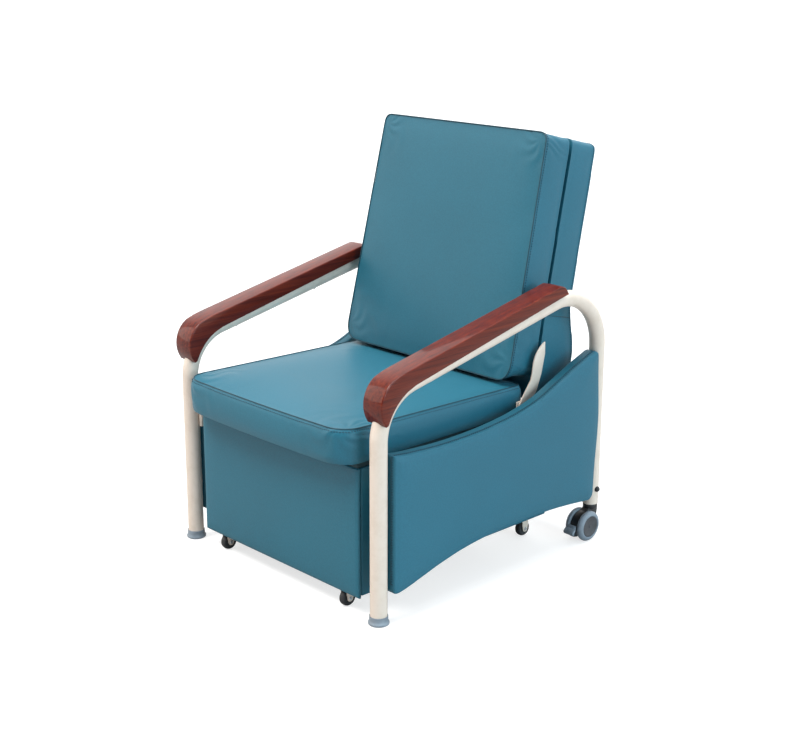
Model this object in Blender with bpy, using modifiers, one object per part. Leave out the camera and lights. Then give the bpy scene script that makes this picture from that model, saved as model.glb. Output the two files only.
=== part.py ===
"""Patient recliner chair with a pull-out seat, in metres, +Z up.

The chair faces -Y. Two bent steel side frames carry wooden armrests, upholstered side panels and
twin-wheel casters at the rear. The seat unit rolls forward between them on four small wheels, the
back cushion folds back behind the seat, and the rear pad reclines behind the back cushion, so that
all three lie flat in line as a bed. Left and right are the sitter's, so left is +X. The origin is on
the floor, under the middle of the chair. A depth is measured back from the front legs.
"""
import math

import bmesh
import bpy
from mathutils import Matrix, Quaternion, Vector
from mathutils.geometry import interpolate_bezier

GAP = 0.0003                    # clearance between pieces that touch

# Side frames
HALF_TRACK = 0.330              # centre plane to the leg tube's axis
LEG_Y = -0.3486                 # front legs' axis
FRAME_DEPTH = 0.710             # front leg axis to rear post axis
TUBE_R = 0.019
TUBE_WALL = 0.0015
ARM_SLOPE = math.radians(12.1)
ARM_START_Z = 0.502             # where the arm's axis would meet the leg's axis
FRONT_BEND_R = 0.115
REAR_BEND_R = 0.133
POST_BOTTOM_Z = 0.088
FOOT_R = 0.0235
FOOT_HEIGHT = 0.020
FOOT_FLOOR = 0.006

# Wooden armrests
WOOD_HALF_WIDTH = 0.029
WOOD_RISE = 0.0432              # top face above the tube's axis
WOOD_SKIRT_FRONT = 0.0055       # lower edge above the tube's axis, at the bend
WOOD_SKIRT_REAR = 0.0175        # the same, at the rear end
WOOD_END_DEPTH = 0.564
WOOD_EDGE_R = 0.003
NOSE_R = 0.063
NOSE_DEPTH = 0.045
NOSE_Z = 0.4905
SCREW_DEPTHS = {"front": 0.136, "rear": 0.387}

# Side panels
PANEL_X = (0.3222, 0.3598)
PANEL_CLEAR = 0.0225            # panel edge to the tube axis before and behind it

# Rails and cross tubes
RAIL_X = (0.3000, 0.3107)
UPPER_RAIL_Z = (0.290, 0.340)
CHANNEL_X = (0.2960, 0.3107)
CHANNEL_Z = 0.127
CHANNEL_HALF_HEIGHT = 0.015
CHANNEL_WALL = 0.002
CROSS_TUBE_R = 0.0125
SUPPORT_TUBE_R = 0.010
SUPPORT_DEPTH = 0.600
SUPPORT_Z = 0.3225

# Seat unit
SEAT_HALF_WIDTH = 0.286
SEAT_FRONT = -0.066             # depth of the seat cushion's front
SEAT_REAR = 0.508
SEAT_Z = (0.352, 0.431)
SEAT_CORNER_R = 0.060
BOX_HALF_WIDTH = 0.2755
BOX_FRONT = -0.011
FRONT_PANEL_THICK = 0.012
BOX_BOTTOM_Z = 0.040
BOX_TOP_Z = 0.339
BOARD_THICK = 0.0122
BASE_RAIL_X = 0.215
BASE_RAIL_SIDE = 0.020
BASE_REAR = 0.612

# Small wheels under the seat unit
SMALL_WHEEL_R = 0.0195
SMALL_WHEEL_HALF = 0.008
SMALL_WHEEL_DEPTHS = {"front": 0.0125, "rear": 0.591}
SMALL_PIN_R = 0.003
FORK_HALF_WIDTH = 0.011
FORK_WALL = 0.002
FORK_TOP_Z = 0.045

# Back section, folding about the seat unit's hinge
LEAN = math.radians(13)         # both backs' lean from upright at rest
FOLD_DEPTH = 0.490
FOLD_Z = 0.376
BACK_FRONT = -0.054             # front face, measured from the hinge across the section
BACK_REAR = 0.040
BACK_LENGTH = (0.0583, 0.6245)  # bottom and top, measured from the hinge along the section
LINK_X = (0.2923, 0.2963)
LINK_FLANGE_WIDTH = 0.045
LINK_FLANGE_THICK = 0.003
PIN_R = 0.005

# Rear section, reclining about the hinge tube
RECLINE_DEPTH = 0.652
RECLINE_Z = 0.300
PAD_FRONT = -0.130
PAD_REAR = -0.036
PAD_LENGTH = (0.045, 0.6625)
PAD_HEEL = 0.0                  # how far back the pad's thick lower end reaches
BRACKET_X = 0.200
BACKING_THICK = 0.0095
SIDE_TAPER = 0.0286             # share of the cushions' width lost per 0.3 m of height
CUSHION_BOTTOM_HALF = 0.281

# Rear casters
CASTER_R = 0.0375
CASTER_TRAIL = 0.027            # wheel axis ahead of the swivel axis
CASTER_WHEEL_X = 0.0190         # middle plane of each twin wheel from the swivel axis
CASTER_WHEEL_HALF = 0.0075
AXLE_R = 0.004
HOUSING_HALF = 0.0108
STEM_R = 0.0165
PEDAL_PIVOT = (-0.026, 0.001)   # from the wheel axis: back, up

SIDES = {"left": 1, "right": -1}


# --------------------------------------------------------------------------- scene and materials

def clear_scene():
    for obj in list(bpy.data.objects):
        bpy.data.objects.remove(obj, do_unlink=True)


def collection(name):
    group = bpy.data.collections.new(name)
    bpy.context.scene.collection.children.link(group)
    return group


def material(name, color, roughness, metallic=0.0):
    mat = bpy.data.materials.new(name)
    mat.use_nodes = True
    shader = mat.node_tree.nodes["Principled BSDF"]
    shader.inputs["Base Color"].default_value = (*color, 1.0)
    shader.inputs["Roughness"].default_value = roughness
    shader.inputs["Metallic"].default_value = metallic
    return mat


clear_scene()
CHAIR = collection("patient_recliner_chair")
CUTTERS = collection("cutters")

STEEL = dict(color=(0.80, 0.75, 0.68), roughness=0.35, metallic=0.2)
VINYL = dict(color=(0.035, 0.16, 0.22), roughness=0.45)
WOOD = dict(color=(0.23, 0.035, 0.018), roughness=0.22)
BOARD = dict(color=(0.03, 0.13, 0.18), roughness=0.6)
GREY_RUBBER = dict(color=(0.17, 0.20, 0.24), roughness=0.6)
BLACK_PLASTIC = dict(color=(0.012, 0.012, 0.014), roughness=0.4)
DARK_RUBBER = dict(color=(0.018, 0.018, 0.02), roughness=0.6)
ZINC = dict(color=(0.55, 0.55, 0.56), roughness=0.3, metallic=0.9)


# --------------------------------------------------------------------------- building helpers

def piece(name, data, look, parent=None, location=(0, 0, 0), rotation=(0, 0, 0)):
    """Add one sub-part with its own material."""
    obj = bpy.data.objects.new(name, data)
    obj.location = location
    obj.rotation_euler = rotation
    obj.parent = parent
    data.materials.append(material(name, **look))
    CHAIR.objects.link(obj)
    return obj


def pivot(name, location, lean=0.0):
    """An empty on a joint's axis; the pieces that turn about it are its children."""
    empty = bpy.data.objects.new(name, None)
    empty.location = location
    empty.rotation_euler = (lean, 0, 0)
    CHAIR.objects.link(empty)
    return empty


def depth(distance):
    """World Y of a distance behind the front legs."""
    return LEG_Y + distance


def bevel(obj, width, segments=2):
    mod = obj.modifiers.new("rounded_edges", "BEVEL")
    mod.width = width
    mod.segments = segments
    mod.limit_method = "ANGLE"
    return mod


def box(name, look, low, high, rounding=0.0, segments=2, parent=None):
    """A box between two corners, with its edges rounded."""
    low = Vector(low)
    high = Vector(high)
    mesh = bpy.data.meshes.new(name)
    bm = bmesh.new()
    bmesh.ops.create_cube(bm, size=1.0)
    bmesh.ops.scale(bm, vec=high - low, verts=bm.verts)
    bm.to_mesh(mesh)
    bm.free()
    obj = piece(name, mesh, look, parent, (low + high) / 2)
    if rounding:
        bevel(obj, rounding, segments)
    return obj


def arc(centre, radius, start_deg, end_deg, steps):
    """Points along a circular arc in a flat outline."""
    points = []
    for i in range(steps + 1):
        angle = math.radians(start_deg + (end_deg - start_deg) * i / steps)
        points.append((centre[0] + radius * math.cos(angle), centre[1] + radius * math.sin(angle)))
    return points


def bend(start, start_handle, end_handle, end, steps):
    """Points along a Bezier stretch of a flat outline, without its last point."""
    flat = [Vector((*p, 0)) for p in (start, start_handle, end_handle, end)]
    return [(p.x, p.y) for p in interpolate_bezier(*flat, steps + 1)[:-1]]


def outline_curve(name, points, half_thick, rounding):
    """A filled flat outline, extruded both ways, with rounded rims."""
    curve = bpy.data.curves.new(name, "CURVE")
    curve.dimensions = "2D"
    curve.fill_mode = "BOTH"
    curve.extrude = half_thick - rounding
    curve.bevel_depth = rounding
    curve.bevel_resolution = 1
    curve.offset = -rounding
    spline = curve.splines.new("POLY")
    spline.points.add(len(points) - 1)
    for knot, (u, v) in zip(spline.points, points):
        knot.co = (u, v, 0, 1)
    spline.use_cyclic_u = True
    return curve


def plate(name, look, points, x_range, rounding=0.0, parent=None, location=(0, 0, 0)):
    """An outline in Y and Z, extruded across X between two planes."""
    middle = (x_range[0] + x_range[1]) / 2
    curve = outline_curve(name, points, abs(x_range[1] - x_range[0]) / 2, rounding)
    place = Vector(location) + Vector((middle, 0, 0))
    return piece(name, curve, look, parent, place, (math.pi / 2, 0, math.pi / 2))


def section_bar(name, look, points, y_range, parent=None, location=(0, 0, 0)):
    """An outline in X and Z, extruded along Y between two planes."""
    middle = (y_range[0] + y_range[1]) / 2
    curve = outline_curve(name, points, abs(y_range[1] - y_range[0]) / 2, 0.0)
    place = Vector(location) + Vector((0, middle, 0))
    return piece(name, curve, look, parent, place, (math.pi / 2, 0, 0))


def rod_curve(name, points, radius, sides=16):
    """A round bar along a path; a Blender bevel has four sides plus two for each resolution step."""
    curve = bpy.data.curves.new(name, "CURVE")
    curve.dimensions = "3D"
    curve.bevel_depth = radius
    curve.bevel_resolution = (sides - 4) // 2
    curve.use_fill_caps = True
    spline = curve.splines.new("POLY")
    spline.points.add(len(points) - 1)
    for knot, point in zip(spline.points, points):
        knot.co = (*point, 1)
    spline.use_smooth = True
    return curve


def turned(name, look, profile, location, rotation=(0, 0, 0), steps=24, closed=True, parent=None):
    """A turned piece: a profile of (radius, height) points swept about its own Z axis."""
    mesh = bpy.data.meshes.new(name)
    verts = [(r, 0, z) for r, z in profile]
    edges = [(i, i + 1) for i in range(len(verts) - 1)]
    if closed:
        edges.append((len(verts) - 1, 0))
    mesh.from_pydata(verts, edges, [])
    obj = piece(name, mesh, look, parent, location, rotation)
    screw = obj.modifiers.new("turned", "SCREW")
    screw.steps = steps
    screw.render_steps = steps
    screw.use_merge_vertices = True
    screw.merge_threshold = 0.00005
    screw.use_smooth_shade = True
    return obj


def as_mesh(obj):
    """Replace a curve object by the closed mesh it makes."""
    bpy.context.view_layer.update()
    evaluated = obj.evaluated_get(bpy.context.evaluated_depsgraph_get())
    mesh = bpy.data.meshes.new_from_object(evaluated)
    bm = bmesh.new()
    bm.from_mesh(mesh)
    bmesh.ops.remove_doubles(bm, verts=bm.verts, dist=0.00001)
    bmesh.ops.recalc_face_normals(bm, faces=bm.faces)
    bm.to_mesh(mesh)
    bm.free()
    name, matrix, parent = obj.name, obj.matrix_world.copy(), obj.parent
    group = obj.users_collection[0]
    bpy.data.objects.remove(obj, do_unlink=True)
    made = bpy.data.objects.new(name, mesh)
    made.parent = parent
    group.objects.link(made)
    bpy.context.view_layer.update()
    made.matrix_world = matrix
    return made


def cutter(name, data, location=(0, 0, 0), rotation=(0, 0, 0), parent=None):
    obj = bpy.data.objects.new(name, data)
    obj.location = location
    obj.rotation_euler = rotation
    obj.parent = parent
    CUTTERS.objects.link(obj)
    obj = as_mesh(obj)
    obj.hide_render = True
    obj.display_type = "WIRE"
    return obj


def join(obj, tool, operation):
    """Cut a tool out of an object, or unite the two, exactly."""
    mod = obj.modifiers.new(tool.name, "BOOLEAN")
    mod.operation = operation
    mod.object = tool
    return obj


def rod_tool(name, start, end, radius, sides=16, parent=None):
    return cutter(name, rod_curve(name, [start, end], radius, sides), parent=parent)


# --------------------------------------------------------------------------- side frames

def rounded_corner(before, corner, after, radius, steps):
    """Points of the arc that rounds the corner between two straight runs."""
    to_before = (before - corner).normalized()
    to_after = (after - corner).normalized()
    half = to_before.angle(to_after) / 2
    centre = corner + (to_before + to_after).normalized() * radius / math.sin(half)
    start = corner + to_before * radius / math.tan(half) - centre
    end = corner + to_after * radius / math.tan(half) - centre
    turn = start.rotation_difference(end)
    return [centre + Quaternion().slerp(turn, i / steps) @ start for i in range(steps + 1)]


def side_tube_path(side, overrun=0.0, steps=8):
    """The bent tube's axis: up the leg, back along the arm and down the rear post."""
    x = side * HALF_TRACK
    rise = math.tan(ARM_SLOPE) * FRAME_DEPTH
    leg = Vector((x, LEG_Y, FOOT_FLOOR + GAP - overrun))
    front = Vector((x, LEG_Y, ARM_START_Z))
    rear = Vector((x, LEG_Y + FRAME_DEPTH, ARM_START_Z + rise))
    post = Vector((x, LEG_Y + FRAME_DEPTH, POST_BOTTOM_Z - overrun))
    bends = rounded_corner(leg, front, rear, FRONT_BEND_R, steps)
    bends += rounded_corner(front, rear, post, REAR_BEND_R, steps)
    return [leg, *bends, post]


def side_tube(label, side):
    name = f"side_tube_{label}"
    tube = as_mesh(piece(name, rod_curve(name, side_tube_path(side), TUBE_R), STEEL))
    bore_path = side_tube_path(side, overrun=0.01)
    bore = cutter(f"tube_bore_{label}", rod_curve("bore", bore_path, TUBE_R - TUBE_WALL))
    join(tube, bore, "DIFFERENCE")


def foot(label, side):
    """A rubber cup over the bottom of the front leg."""
    bore_r = TUBE_R + GAP
    profile = [(0, FOOT_FLOOR), (bore_r, FOOT_FLOOR), (bore_r, FOOT_HEIGHT),
               (TUBE_R + 0.0016, FOOT_HEIGHT), (TUBE_R + 0.0018, 0.011), (FOOT_R - 0.001, 0.006),
               (FOOT_R, 0.003), (FOOT_R - 0.0012, 0), (0, 0)]
    place = (side * HALF_TRACK, LEG_Y, 0)
    turned(f"foot_{label}", GREY_RUBBER, profile, place, closed=False)


def bolt_cap(label, side):
    """A black cap over the bolt that holds the lower cross tube."""
    profile = [(0, 0.005), (0.004, 0.0045), (0.0065, 0.002), (0.0065, 0), (0, 0)]
    place = (side * (HALF_TRACK + TUBE_R + GAP), depth(FRAME_DEPTH), CHANNEL_Z)
    turned(f"bolt_cap_{label}", BLACK_PLASTIC, profile, place, (0, side * math.pi / 2, 0), 16, False)


def armrest_outline():
    """The armrest's side view in depth and height, from the nose's tip round over the top."""
    slope = math.tan(ARM_SLOPE)
    tilt_deg = 90 + math.degrees(ARM_SLOPE)
    rise = WOOD_RISE / math.cos(ARM_SLOPE)
    bend_drop = FRONT_BEND_R / math.tan(math.radians(tilt_deg) / 2)
    bend_centre = (FRONT_BEND_R, ARM_START_Z - bend_drop)
    inner_r = FRONT_BEND_R + WOOD_SKIRT_FRONT
    tip_deg = 160
    end_low = ARM_START_Z + WOOD_END_DEPTH * slope + WOOD_SKIRT_REAR
    round_start = WOOD_END_DEPTH - 0.029

    def top(at):
        return (at, ARM_START_Z + at * slope + rise)

    end = (WOOD_END_DEPTH, end_low)
    points = arc((NOSE_DEPTH, NOSE_Z), NOSE_R, 216, tilt_deg, 10)
    points += bend(top(round_start), top(round_start + 0.016), (WOOD_END_DEPTH - 0.004, end_low + 0.008),
                   end, 4)
    points.append(end)
    points += arc(bend_centre, inner_r, tilt_deg, tip_deg, 6)
    return [(depth(y), z) for y, z in points]


def armrest(label, side):
    """A wooden arm that wraps the tube's top and curls over its front bend."""
    x_range = (side * HALF_TRACK - WOOD_HALF_WIDTH, side * HALF_TRACK + WOOD_HALF_WIDTH)
    wood = as_mesh(plate(f"armrest_{label}", WOOD, armrest_outline(), x_range, WOOD_EDGE_R))
    groove = cutter(f"tube_groove_{label}", rod_curve("groove", side_tube_path(side), TUBE_R + GAP))
    join(wood, groove, "DIFFERENCE")


def armrest_screw(label, side, end, at):
    """A domed screw up through the tube into the wood."""
    profile = [(0, 0.0028), (0.0022, 0.0024), (0.0042, 0.0006), (0.0042, 0), (0, 0)]
    down = Vector((0, math.sin(ARM_SLOPE), -math.cos(ARM_SLOPE)))
    axis_point = Vector((side * HALF_TRACK, depth(at), ARM_START_Z + at * math.tan(ARM_SLOPE)))
    place = axis_point + down * (TUBE_R + GAP)
    turned(f"armrest_screw_{label}_{end}", ZINC, profile, place, (math.pi + ARM_SLOPE, 0, 0), 12, False)


def side_panel_outline():
    """A concave top that rises to the rear, and an arched bottom."""
    front = PANEL_CLEAR
    rear = FRAME_DEPTH - PANEL_CLEAR
    toe_r = 0.010
    heel_r = 0.022
    points = bend((front, 0.381), (0.085, 0.3735), (0.140, 0.3705), (0.190, 0.3705), 4)
    points += bend((0.190, 0.3705), (0.330, 0.3705), (0.460, 0.396), (0.560, 0.4375), 8)
    points += bend((0.560, 0.4375), (0.600, 0.4545), (0.650, 0.475), (rear, 0.488), 3)
    points.append((rear, 0.488))
    points += arc((rear - heel_r, 0.132), heel_r, 0, -80, 5)
    points += bend((0.640, 0.1125), (0.570, 0.121), (0.500, 0.1240), (0.430, 0.1240), 4)
    points += bend((0.430, 0.1240), (0.270, 0.1240), (0.150, 0.094), (front + toe_r + 0.006, 0.0665), 8)
    points += arc((front + toe_r, 0.0755), toe_r, -80, -180, 4)
    return [(depth(y), z) for y, z in points]


def side_panel(label, side):
    x_range = (side * PANEL_X[0], side * PANEL_X[1])
    plate(f"side_panel_{label}", VINYL, side_panel_outline(), x_range, 0.005)


def rails(label, side):
    """The upper rail and the lower channel that the seat unit runs in."""
    xs = sorted((side * RAIL_X[0], side * RAIL_X[1]))
    box(f"upper_rail_{label}", STEEL, (xs[0], depth(0.006), UPPER_RAIL_Z[0]),
        (xs[1], depth(FRAME_DEPTH + 0.010), UPPER_RAIL_Z[1]), 0.0015, 1)
    inner, outer = (side * x for x in CHANNEL_X)
    web = outer - side * CHANNEL_WALL
    low = CHANNEL_Z - CHANNEL_HALF_HEIGHT
    high = CHANNEL_Z + CHANNEL_HALF_HEIGHT
    points = [(inner, low), (outer, low), (outer, high), (inner, high), (inner, high - CHANNEL_WALL),
              (web, high - CHANNEL_WALL), (web, low + CHANNEL_WALL), (inner, low + CHANNEL_WALL)]
    rear = depth(FRAME_DEPTH) - CROSS_TUBE_R - GAP
    section_bar(f"slide_channel_{label}", STEEL, points, (depth(0.028), rear))


def cross_tubes():
    """Tubes between the side frames: the lower tie, the rear pad's hinge and the bed support."""
    inside = HALF_TRACK - TUBE_R - GAP
    between_rails = RAIL_X[0] - GAP
    runs = {
        "rear_cross_tube": (inside, depth(FRAME_DEPTH), CHANNEL_Z, CROSS_TUBE_R),
        "hinge_tube": (between_rails, depth(RECLINE_DEPTH), RECLINE_Z, CROSS_TUBE_R),
        "support_tube": (between_rails, depth(SUPPORT_DEPTH), SUPPORT_Z, SUPPORT_TUBE_R),
    }
    for name, (reach, y, z, radius) in runs.items():
        piece(name, rod_curve(name, [(-reach, y, z), (reach, y, z)], radius), STEEL)


# --------------------------------------------------------------------------- seat unit

def cushion_plan():
    """The seat cushion from above: a bowed front with large corners."""
    rear_r = 0.020
    bow = 0.005
    side = SEAT_HALF_WIDTH
    front = SEAT_FRONT + SEAT_CORNER_R + bow
    points = arc((-side + SEAT_CORNER_R, front), SEAT_CORNER_R, 180, 265, 6)
    points.append((0, SEAT_FRONT))
    points += arc((side - SEAT_CORNER_R, front), SEAT_CORNER_R, 275, 360, 6)
    points += arc((side - rear_r, SEAT_REAR - rear_r), rear_r, 0, 90, 3)
    points += arc((-side + rear_r, SEAT_REAR - rear_r), rear_r, 90, 180, 3)
    return [(x, depth(y)) for x, y in points]


def seat_cushion(parent):
    middle = (SEAT_Z[0] + SEAT_Z[1]) / 2
    curve = outline_curve("seat_cushion", cushion_plan(), (SEAT_Z[1] - SEAT_Z[0]) / 2, 0.010)
    piece("seat_cushion", curve, VINYL, parent, (0, 0, middle))


def seat_box(parent):
    """The upholstered box under the seat: front, sides, rear and top boards."""
    front = depth(BOX_FRONT)
    behind = front + FRONT_PANEL_THICK + GAP
    inside = BOX_HALF_WIDTH - BOARD_THICK
    box("front_panel", VINYL, (-BOX_HALF_WIDTH, front, BOX_BOTTOM_Z),
        (BOX_HALF_WIDTH, front + FRONT_PANEL_THICK, BOX_TOP_Z), 0.003, 2, parent)
    outline = [(behind, 0.045), (depth(0.030), 0.045), (depth(0.060), 0.070), (depth(0.605), 0.070),
               (depth(0.605), 0.200), (depth(SEAT_REAR - 0.003), BOX_TOP_Z), (behind, BOX_TOP_Z)]
    for label, side in SIDES.items():
        xs = (side * inside, side * BOX_HALF_WIDTH)
        plate(f"seat_side_board_{label}", VINYL, outline, xs, 0.0, parent)
    rear_y = depth(SEAT_REAR - 0.015)
    box("seat_rear_board", BOARD, (-inside + GAP, rear_y, 0.070), (inside - GAP, rear_y + BOARD_THICK, BOX_TOP_Z),
        0.0, 1, parent)
    box("seat_board", BOARD, (-BOX_HALF_WIDTH + 0.004, front + 0.004, BOX_TOP_Z + GAP),
        (BOX_HALF_WIDTH - 0.004, depth(SEAT_REAR - 0.006), SEAT_Z[0] - GAP), 0.0, 1, parent)


def base_frame(parent):
    """Two rails on the small wheels, tied at the rear."""
    half = BASE_RAIL_SIDE / 2
    low = FORK_TOP_Z + GAP
    high = low + BASE_RAIL_SIDE
    front = depth(BOX_FRONT) + FRONT_PANEL_THICK + GAP
    rear = depth(BASE_REAR)
    for label, side in SIDES.items():
        x = side * BASE_RAIL_X
        box(f"base_rail_{label}", STEEL, (x - half, front, low), (x + half, rear, high), 0.002, 1, parent)
    reach = BASE_RAIL_X - half - GAP
    box("base_cross_rail", STEEL, (-reach, rear - BASE_RAIL_SIDE, low), (reach, rear, high), 0.002, 1, parent)


def runners(label, side, parent):
    """A bar on the seat box that runs inside the side frame's channel."""
    xs = sorted((side * (BOX_HALF_WIDTH + GAP), side * 0.3060))
    box(f"runner_{label}", ZINC, (xs[0], depth(0.030), CHANNEL_Z - 0.005),
        (xs[1], depth(0.580), CHANNEL_Z + 0.005), 0.001, 1, parent)


def fold_hinge(label, side, parent):
    """A lug that steps out from under the cushion, and the pin through it."""
    inner = BOX_HALF_WIDTH + GAP
    upright = LINK_X[0] - GAP
    wall = 0.003
    shelf = (BOX_TOP_Z - 0.002, SEAT_Z[0] - 0.003)
    points = [(inner, 0.300), (inner + 0.004, 0.300), (inner + 0.004, shelf[0]), (upright, shelf[0]),
              (upright, FOLD_Z + 0.012), (upright - wall, FOLD_Z + 0.012), (upright - wall, shelf[1]),
              (inner, shelf[1])]
    y = depth(FOLD_DEPTH)
    name = f"hinge_lug_{label}"
    sided = [(side * x, z) for x, z in points]
    lug = as_mesh(section_bar(name, STEEL, sided, (y - 0.018, y + 0.018), parent))
    hole = rod_tool(f"lug_hole_{label}", (side * 0.280, y, FOLD_Z), (side * 0.295, y, FOLD_Z), PIN_R + GAP)
    join(lug, hole, "DIFFERENCE")
    head_z = LINK_X[1] + GAP
    start = upright - wall + 0.0003
    profile = [(0, head_z + 0.0026), (0.0075, head_z + 0.0026), (0.009, head_z + 0.0012), (0.009, head_z),
               (PIN_R, head_z), (PIN_R, start), (0, start)]
    turned(f"hinge_pin_{label}", ZINC, profile, (0, y, FOLD_Z), (0, side * math.pi / 2, 0), 16, False, parent)


def small_fork(name, x, y, parent):
    """A bent cheek plate with the wheel's pin through it."""
    outer = FORK_HALF_WIDTH
    inner = FORK_HALF_WIDTH - FORK_WALL
    low = 0.011
    under = FORK_TOP_Z - FORK_WALL
    points = [(-outer, low), (-inner, low), (-inner, under), (inner, under), (inner, low), (outer, low),
              (outer, FORK_TOP_Z), (-outer, FORK_TOP_Z)]
    fork = as_mesh(section_bar(name, STEEL, points, (-0.0105, 0.0105), parent, (x, y, 0)))
    reach = outer + 0.0018
    pin = rod_tool(f"{name}_pin", (x - reach, y, SMALL_WHEEL_R), (x + reach, y, SMALL_WHEEL_R), SMALL_PIN_R, 12)
    join(fork, pin, "UNION")


def small_wheel(name, x, y):
    bore_r = SMALL_PIN_R + GAP
    half = SMALL_WHEEL_HALF
    tread = SMALL_WHEEL_R
    profile = [(bore_r, half), (tread - 0.004, half), (tread, half - 0.003), (tread, -half + 0.003),
               (tread - 0.004, -half), (bore_r, -half)]
    turned(name, DARK_RUBBER, profile, (x, y, SMALL_WHEEL_R), (0, math.pi / 2, 0), 20)


def small_wheels(parent):
    for end, at in SMALL_WHEEL_DEPTHS.items():
        for label, side in SIDES.items():
            place = (side * BASE_RAIL_X, depth(at))
            small_fork(f"small_fork_{end}_{label}", *place, parent)
            small_wheel(f"small_wheel_{end}_{label}", *place)


# --------------------------------------------------------------------------- folding backs

def taper(obj, bottom, top):
    """Narrow a leaning cushion towards its top, along its own Z."""
    for vert in obj.data.vertices:
        share = (vert.co.z - bottom) / (top - bottom)
        vert.co.x *= 1 - SIDE_TAPER * (top - bottom) / 0.3 * share


def leaning_slab(name, look, half_width, outline, parent, rounding):
    """A slab with a side outline across and along a leaning section, tapered to its top."""
    slab = plate(name, look, outline, (-half_width, half_width), rounding, parent)
    slab = as_mesh(slab)
    slab.data.transform(slab.matrix_basis)
    slab.matrix_basis = Matrix()
    lengths = [z for _, z in outline]
    taper(slab, min(lengths), max(lengths))
    return slab


def back_section():
    """The back cushion, its board and the two steel links to the seat's hinge."""
    hinge = pivot("back_fold_axis", (0, depth(FOLD_DEPTH), FOLD_Z), -LEAN)
    bottom, top = BACK_LENGTH
    foam_rear = BACK_REAR - BACKING_THICK - GAP
    foam = [(BACK_FRONT, bottom), (foam_rear, bottom), (foam_rear, top), (BACK_FRONT, top)]
    leaning_slab("back_cushion", VINYL, CUSHION_BOTTOM_HALF, foam, hinge, 0.012)
    board = [(foam_rear + GAP, bottom + 0.010), (BACK_REAR, bottom + 0.010),
             (BACK_REAR, top - 0.012), (foam_rear + GAP, top - 0.012)]
    leaning_slab("back_board", BOARD, CUSHION_BOTTOM_HALF - 0.008, board, hinge, 0.0)
    for label, side in SIDES.items():
        link_plate(label, side, hinge)


def link_outline():
    """The link's side view about the fold hinge: a round eye, and an arm that ends in a point."""
    eye_r = 0.0145
    points = arc((0, 0), eye_r, 150, 330, 8)
    points += [(0.0445, 0.0265), (0.0605, 0.066), (0.0715, 0.113), (0.0705, 0.141)]
    points += bend((0.0705, 0.141), (0.052, 0.133), (0.040, 0.119), (0.0335, 0.100), 4)
    points += bend((0.0335, 0.100), (0.029, 0.084), (0.0305, 0.070), (0.0255, 0.0575), 3)
    points += [(0.0255, 0.0575), (0.0145, 0.0435)]
    return points


def link_plate(label, side, hinge):
    """A steel link from the hinge pin up the back cushion's side, with a flange behind the board."""
    y = depth(FOLD_DEPTH)
    x_range = (side * LINK_X[0], side * LINK_X[1])
    link = as_mesh(plate(f"link_plate_{label}", STEEL, link_outline(), x_range, 0.0008,
                         location=(0, y, FOLD_Z)))
    hole = rod_tool(f"link_hole_{label}", (side * 0.285, y, FOLD_Z), (side * 0.305, y, FOLD_Z), PIN_R + GAP)
    join(link, hole, "DIFFERENCE")
    near = BACK_REAR + GAP
    far = near + LINK_FLANGE_THICK
    flange = outline_curve("flange", [(near, 0.078), (far, 0.078), (far, 0.128), (near, 0.128)],
                           LINK_FLANGE_WIDTH / 2, 0.0)
    middle = side * (LINK_X[0] + 0.001 - LINK_FLANGE_WIDTH / 2)
    tool = cutter(f"link_flange_{label}", flange, (middle, 0, 0), (math.pi / 2, 0, math.pi / 2), hinge)
    join(link, tool, "UNION")


def rear_section():
    """The rear pad with its thick lower end, its board and its two brackets on the hinge tube."""
    hinge = pivot("rear_recline_axis", (0, depth(RECLINE_DEPTH), RECLINE_Z), -LEAN)
    bottom, top = PAD_LENGTH
    foam_rear = PAD_REAR - BACKING_THICK - GAP
    foam = [(PAD_FRONT, bottom + 0.048), (PAD_FRONT + 0.018, bottom + 0.024),
            (PAD_FRONT + 0.050, bottom), (PAD_HEEL - 0.026, bottom), (PAD_HEEL, 0.115), (PAD_HEEL, 0.165),
            (-0.026, 0.245), (foam_rear + 0.008, 0.290), (foam_rear, 0.310), (foam_rear, top),
            (PAD_FRONT, top)]
    leaning_slab("rear_pad", VINYL, CUSHION_BOTTOM_HALF, foam, hinge, 0.012)
    board = [(foam_rear + GAP, 0.320), (PAD_REAR, 0.320), (PAD_REAR, top - 0.012),
             (foam_rear + GAP, top - 0.012)]
    leaning_slab("rear_pad_board", BOARD, CUSHION_BOTTOM_HALF - 0.012, board, hinge, 0.0)
    for label, side in SIDES.items():
        pad_bracket(label, side, hinge)


def pad_bracket(label, side, hinge):
    """An eye round the hinge tube, with an arm up to the pad's lower end."""
    eye_r = 0.020
    top = PAD_LENGTH[0] - GAP
    points = arc((0, 0), eye_r, 165, 375, 12) + [(-0.030, top), (-0.078, top)]
    x_range = (side * BRACKET_X - 0.003, side * BRACKET_X + 0.003)
    bracket = as_mesh(plate(f"pad_bracket_{label}", STEEL, points, x_range, 0.0, hinge))
    ends = ((side * BRACKET_X - 0.02, 0, 0), (side * BRACKET_X + 0.02, 0, 0))
    join(bracket, rod_tool(f"bracket_eye_{label}", *ends, CROSS_TUBE_R + GAP, 20, hinge), "DIFFERENCE")


# --------------------------------------------------------------------------- rear casters

def caster_centre(side):
    return Vector((side * HALF_TRACK, depth(FRAME_DEPTH - CASTER_TRAIL), CASTER_R))


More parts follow.
